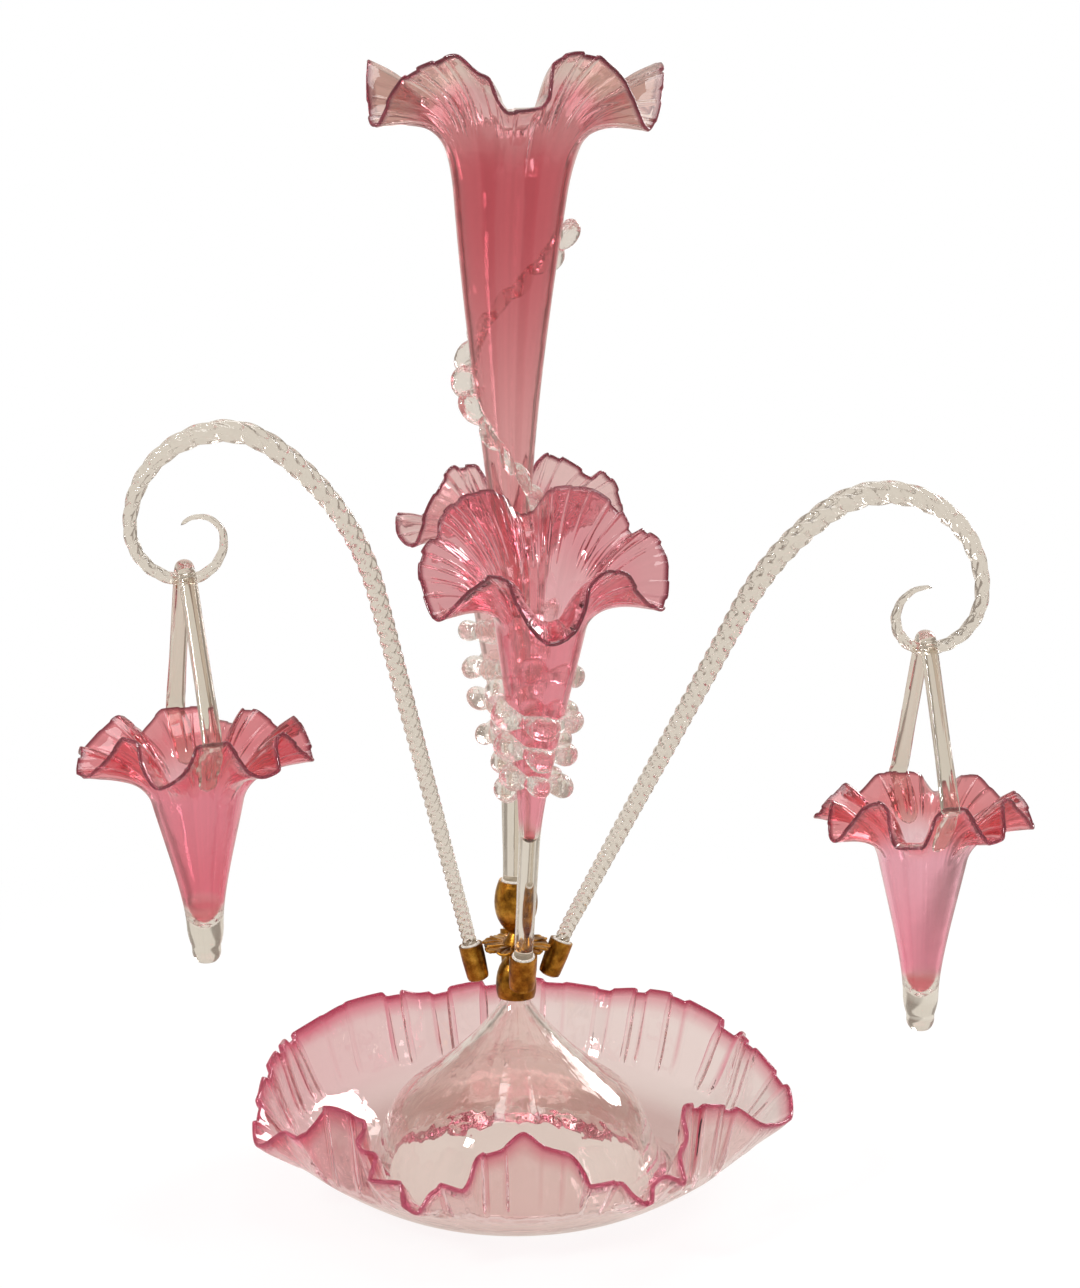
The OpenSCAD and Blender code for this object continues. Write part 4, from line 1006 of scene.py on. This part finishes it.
def panels(tree, direction):
    """1 in the four dim panels between the main views and 0 elsewhere, and the height looked at."""
    parts = add(tree, "SeparateXYZ", {0: direction})
    angle = add(tree, "Math", {0: parts.outputs["Y"], 1: parts.outputs["X"]}, operation="ARCTAN2")
    twice = add(tree, "Math", {0: angle.outputs[0]}, {1: 2.0}, operation="MULTIPLY")
    wave = add(tree, "Math", {0: twice.outputs[0]}, operation="SINE")
    size = add(tree, "Math", {0: wave.outputs[0]}, operation="ABSOLUTE")
    return add(tree, "MapRange", {"Value": size.outputs[0]}, {"From Min": 0.82, "From Max": 0.95},
               interpolation_type="SMOOTHSTEP").outputs[0], parts.outputs["Z"]


WHITE = [1.0, 1.0, 1.0, 1.0]
ROOM = colour("#e4ded5")
DIM = colour("#9a9188")
ROOF = colour("#b4aba1")
SOFT_LIGHT = colour("#c0c0c0")

world = bpy.data.worlds.new("studio")
bpy.context.scene.world = world
world.use_nodes = True
tree = world.node_tree
tree.nodes.clear()
path = add(tree, "LightPath")
where = add(tree, "TexCoord")
panel, height = panels(tree, where.outputs["Generated"])
roof = add(tree, "MapRange", {"Value": height}, {"From Min": 0.45, "From Max": 0.8},
           interpolation_type="SMOOTHSTEP")
sides = add(tree, "Mix", {0: panel}, {6: ROOM, 7: DIM}, data_type="RGBA")
room = add(tree, "Mix", {0: roof.outputs[0], 6: sides.outputs[2]}, {7: ROOF}, data_type="RGBA")
soft = add(tree, "Mix", {0: path.outputs["Is Diffuse Ray"], 6: room.outputs[2]}, {7: SOFT_LIGHT},
           data_type="RGBA")
seen = add(tree, "Mix", {0: path.outputs["Is Camera Ray"], 6: soft.outputs[2]}, {7: WHITE},
           data_type="RGBA")
back = add(tree, "Background", {"Color": seen.outputs[2]}, {"Strength": 1.0})
add(tree, "OutputWorld", {"Surface": back.outputs[0]})


def pale_floor():
    """Matt white table: it keeps the shadow, and shows white to the eye and the room's tone to the glass."""
    material, tree = blank("matt_white_table")
    path = add(tree, "LightPath")
    where = add(tree, "TexCoord")
    panel, _ = panels(tree, where.outputs["Object"])
    far = add(tree, "VectorMath", {0: where.outputs["Object"]}, operation="LENGTH")
    away = add(tree, "MapRange", {"Value": far.outputs["Value"]}, {"From Min": 0.25, "From Max": 0.6})
    dark = add(tree, "Math", {0: panel, 1: away.outputs[0]}, operation="MULTIPLY")
    bent = add(tree, "Math", {1: path.outputs["Is Camera Ray"]}, {0: 1.0}, operation="SUBTRACT")
    dark = add(tree, "Math", {0: dark.outputs[0], 1: bent.outputs[0]}, operation="MULTIPLY")
    pale = add(tree, "Mix", {0: path.outputs["Is Camera Ray"]}, {6: ROOM, 7: WHITE}, data_type="RGBA")
    tone = add(tree, "Mix", {0: dark.outputs[0], 6: pale.outputs[2]}, {7: DIM}, data_type="RGBA")
    glow = add(tree, "Emission", {"Color": tone.outputs[2]}, {"Strength": 1.0})
    matt = add(tree, "BsdfDiffuse", values={"Color": colour("#f4f4f2")})
    eye = add(tree, "Math", {0: path.outputs["Is Camera Ray"], 1: path.outputs["Is Glossy Ray"]},
              operation="MAXIMUM")
    eye = add(tree, "Math", {0: eye.outputs[0], 1: path.outputs["Is Transmission Ray"]},
              operation="MAXIMUM")
    even = add(tree, "MapRange", {"Value": far.outputs["Value"]},
               {"From Min": 0.2, "From Max": 0.6, "To Min": 0.82, "To Max": 1.0},
               interpolation_type="SMOOTHSTEP")
    share = add(tree, "Math", {0: eye.outputs[0], 1: even.outputs[0]}, operation="MULTIPLY")
    both = add(tree, "MixShader", {0: share.outputs[0], 1: matt.outputs[0], 2: glow.outputs[0]})
    add(tree, "OutputMaterial", {"Surface": both.outputs[0]})
    return material


# Metres; just under the ground ring, so that the two faces don't meet
TABLE_Z, TABLE_SIDE = -0.0003, 12

fresh()
bpy.ops.mesh.primitive_plane_add(size=TABLE_SIDE, location=(0, 0, 0))
floor = bpy.context.object
floor.name = "table"
floor.data.transform(Matrix.Translation((0, 0, TABLE_Z)))
floor.data.materials.append(pale_floor())


def lamp(name, place, aim, width, height, power):
    """A soft box that the camera doesn't see, with its place, aim and sides in metres and power in watts."""
    light = bpy.data.lights.new(name, "AREA")
    light.shape, light.size, light.size_y, light.energy = "RECTANGLE", width, height, power
    obj = bpy.data.objects.new(name, light)
    bpy.context.collection.objects.link(obj)
    obj.rotation_euler = (Vector(aim) - Vector(place)).to_track_quat("-Z", "Y").to_euler()
    obj.location = place
    obj.visible_camera = False
    return obj


lamp("window", (-1.1, -0.9, 1.15), (0, 0, 0.3), 0.2, 0.3, 14)
lamp("fill", (1.3, -0.7, 0.45), (0, 0, 0.25), 0.16, 0.3, 6).visible_glossy = False
lamp("rim", (0.8, 0.95, 0.8), (0, 0, 0.2), 0.3, 0.6, 8)
lamp("top", (0, 0.1, 1.7), (0, 0, 0.2), 0.8, 0.8, 9)

# The photograph's view: metres and degrees, and the focal length in pixels over the picture's height
EYE_AT, EYE_DOWN, EYE_TURN = (0, -1.42, 0.570), 12.14, -0.46
FOCAL_PX, PICTURE_PX, SENSOR = 3111, 1288, 36

camera = bpy.data.cameras.new("view")
camera.sensor_fit, camera.sensor_width = "AUTO", SENSOR
camera.lens = SENSOR * FOCAL_PX / PICTURE_PX
eye = bpy.data.objects.new("view", camera)
bpy.context.collection.objects.link(eye)
eye.location = EYE_AT
eye.rotation_euler = (math.radians(90 - EYE_DOWN), 0, math.radians(EYE_TURN))
scene = bpy.context.scene
scene.camera = eye
scene.view_settings.view_transform = "Standard"
# Light passes many walls of glass and turns back inside the sheets, so it needs many bounces
scene.cycles.max_bounces = scene.cycles.transmission_bounces = 40
scene.cycles.glossy_bounces = scene.cycles.transparent_max_bounces = 40
scene.cycles.caustics_reflective = False
scene.cycles.caustics_refractive = False
scene.cycles.sample_clamp_indirect = 6.0
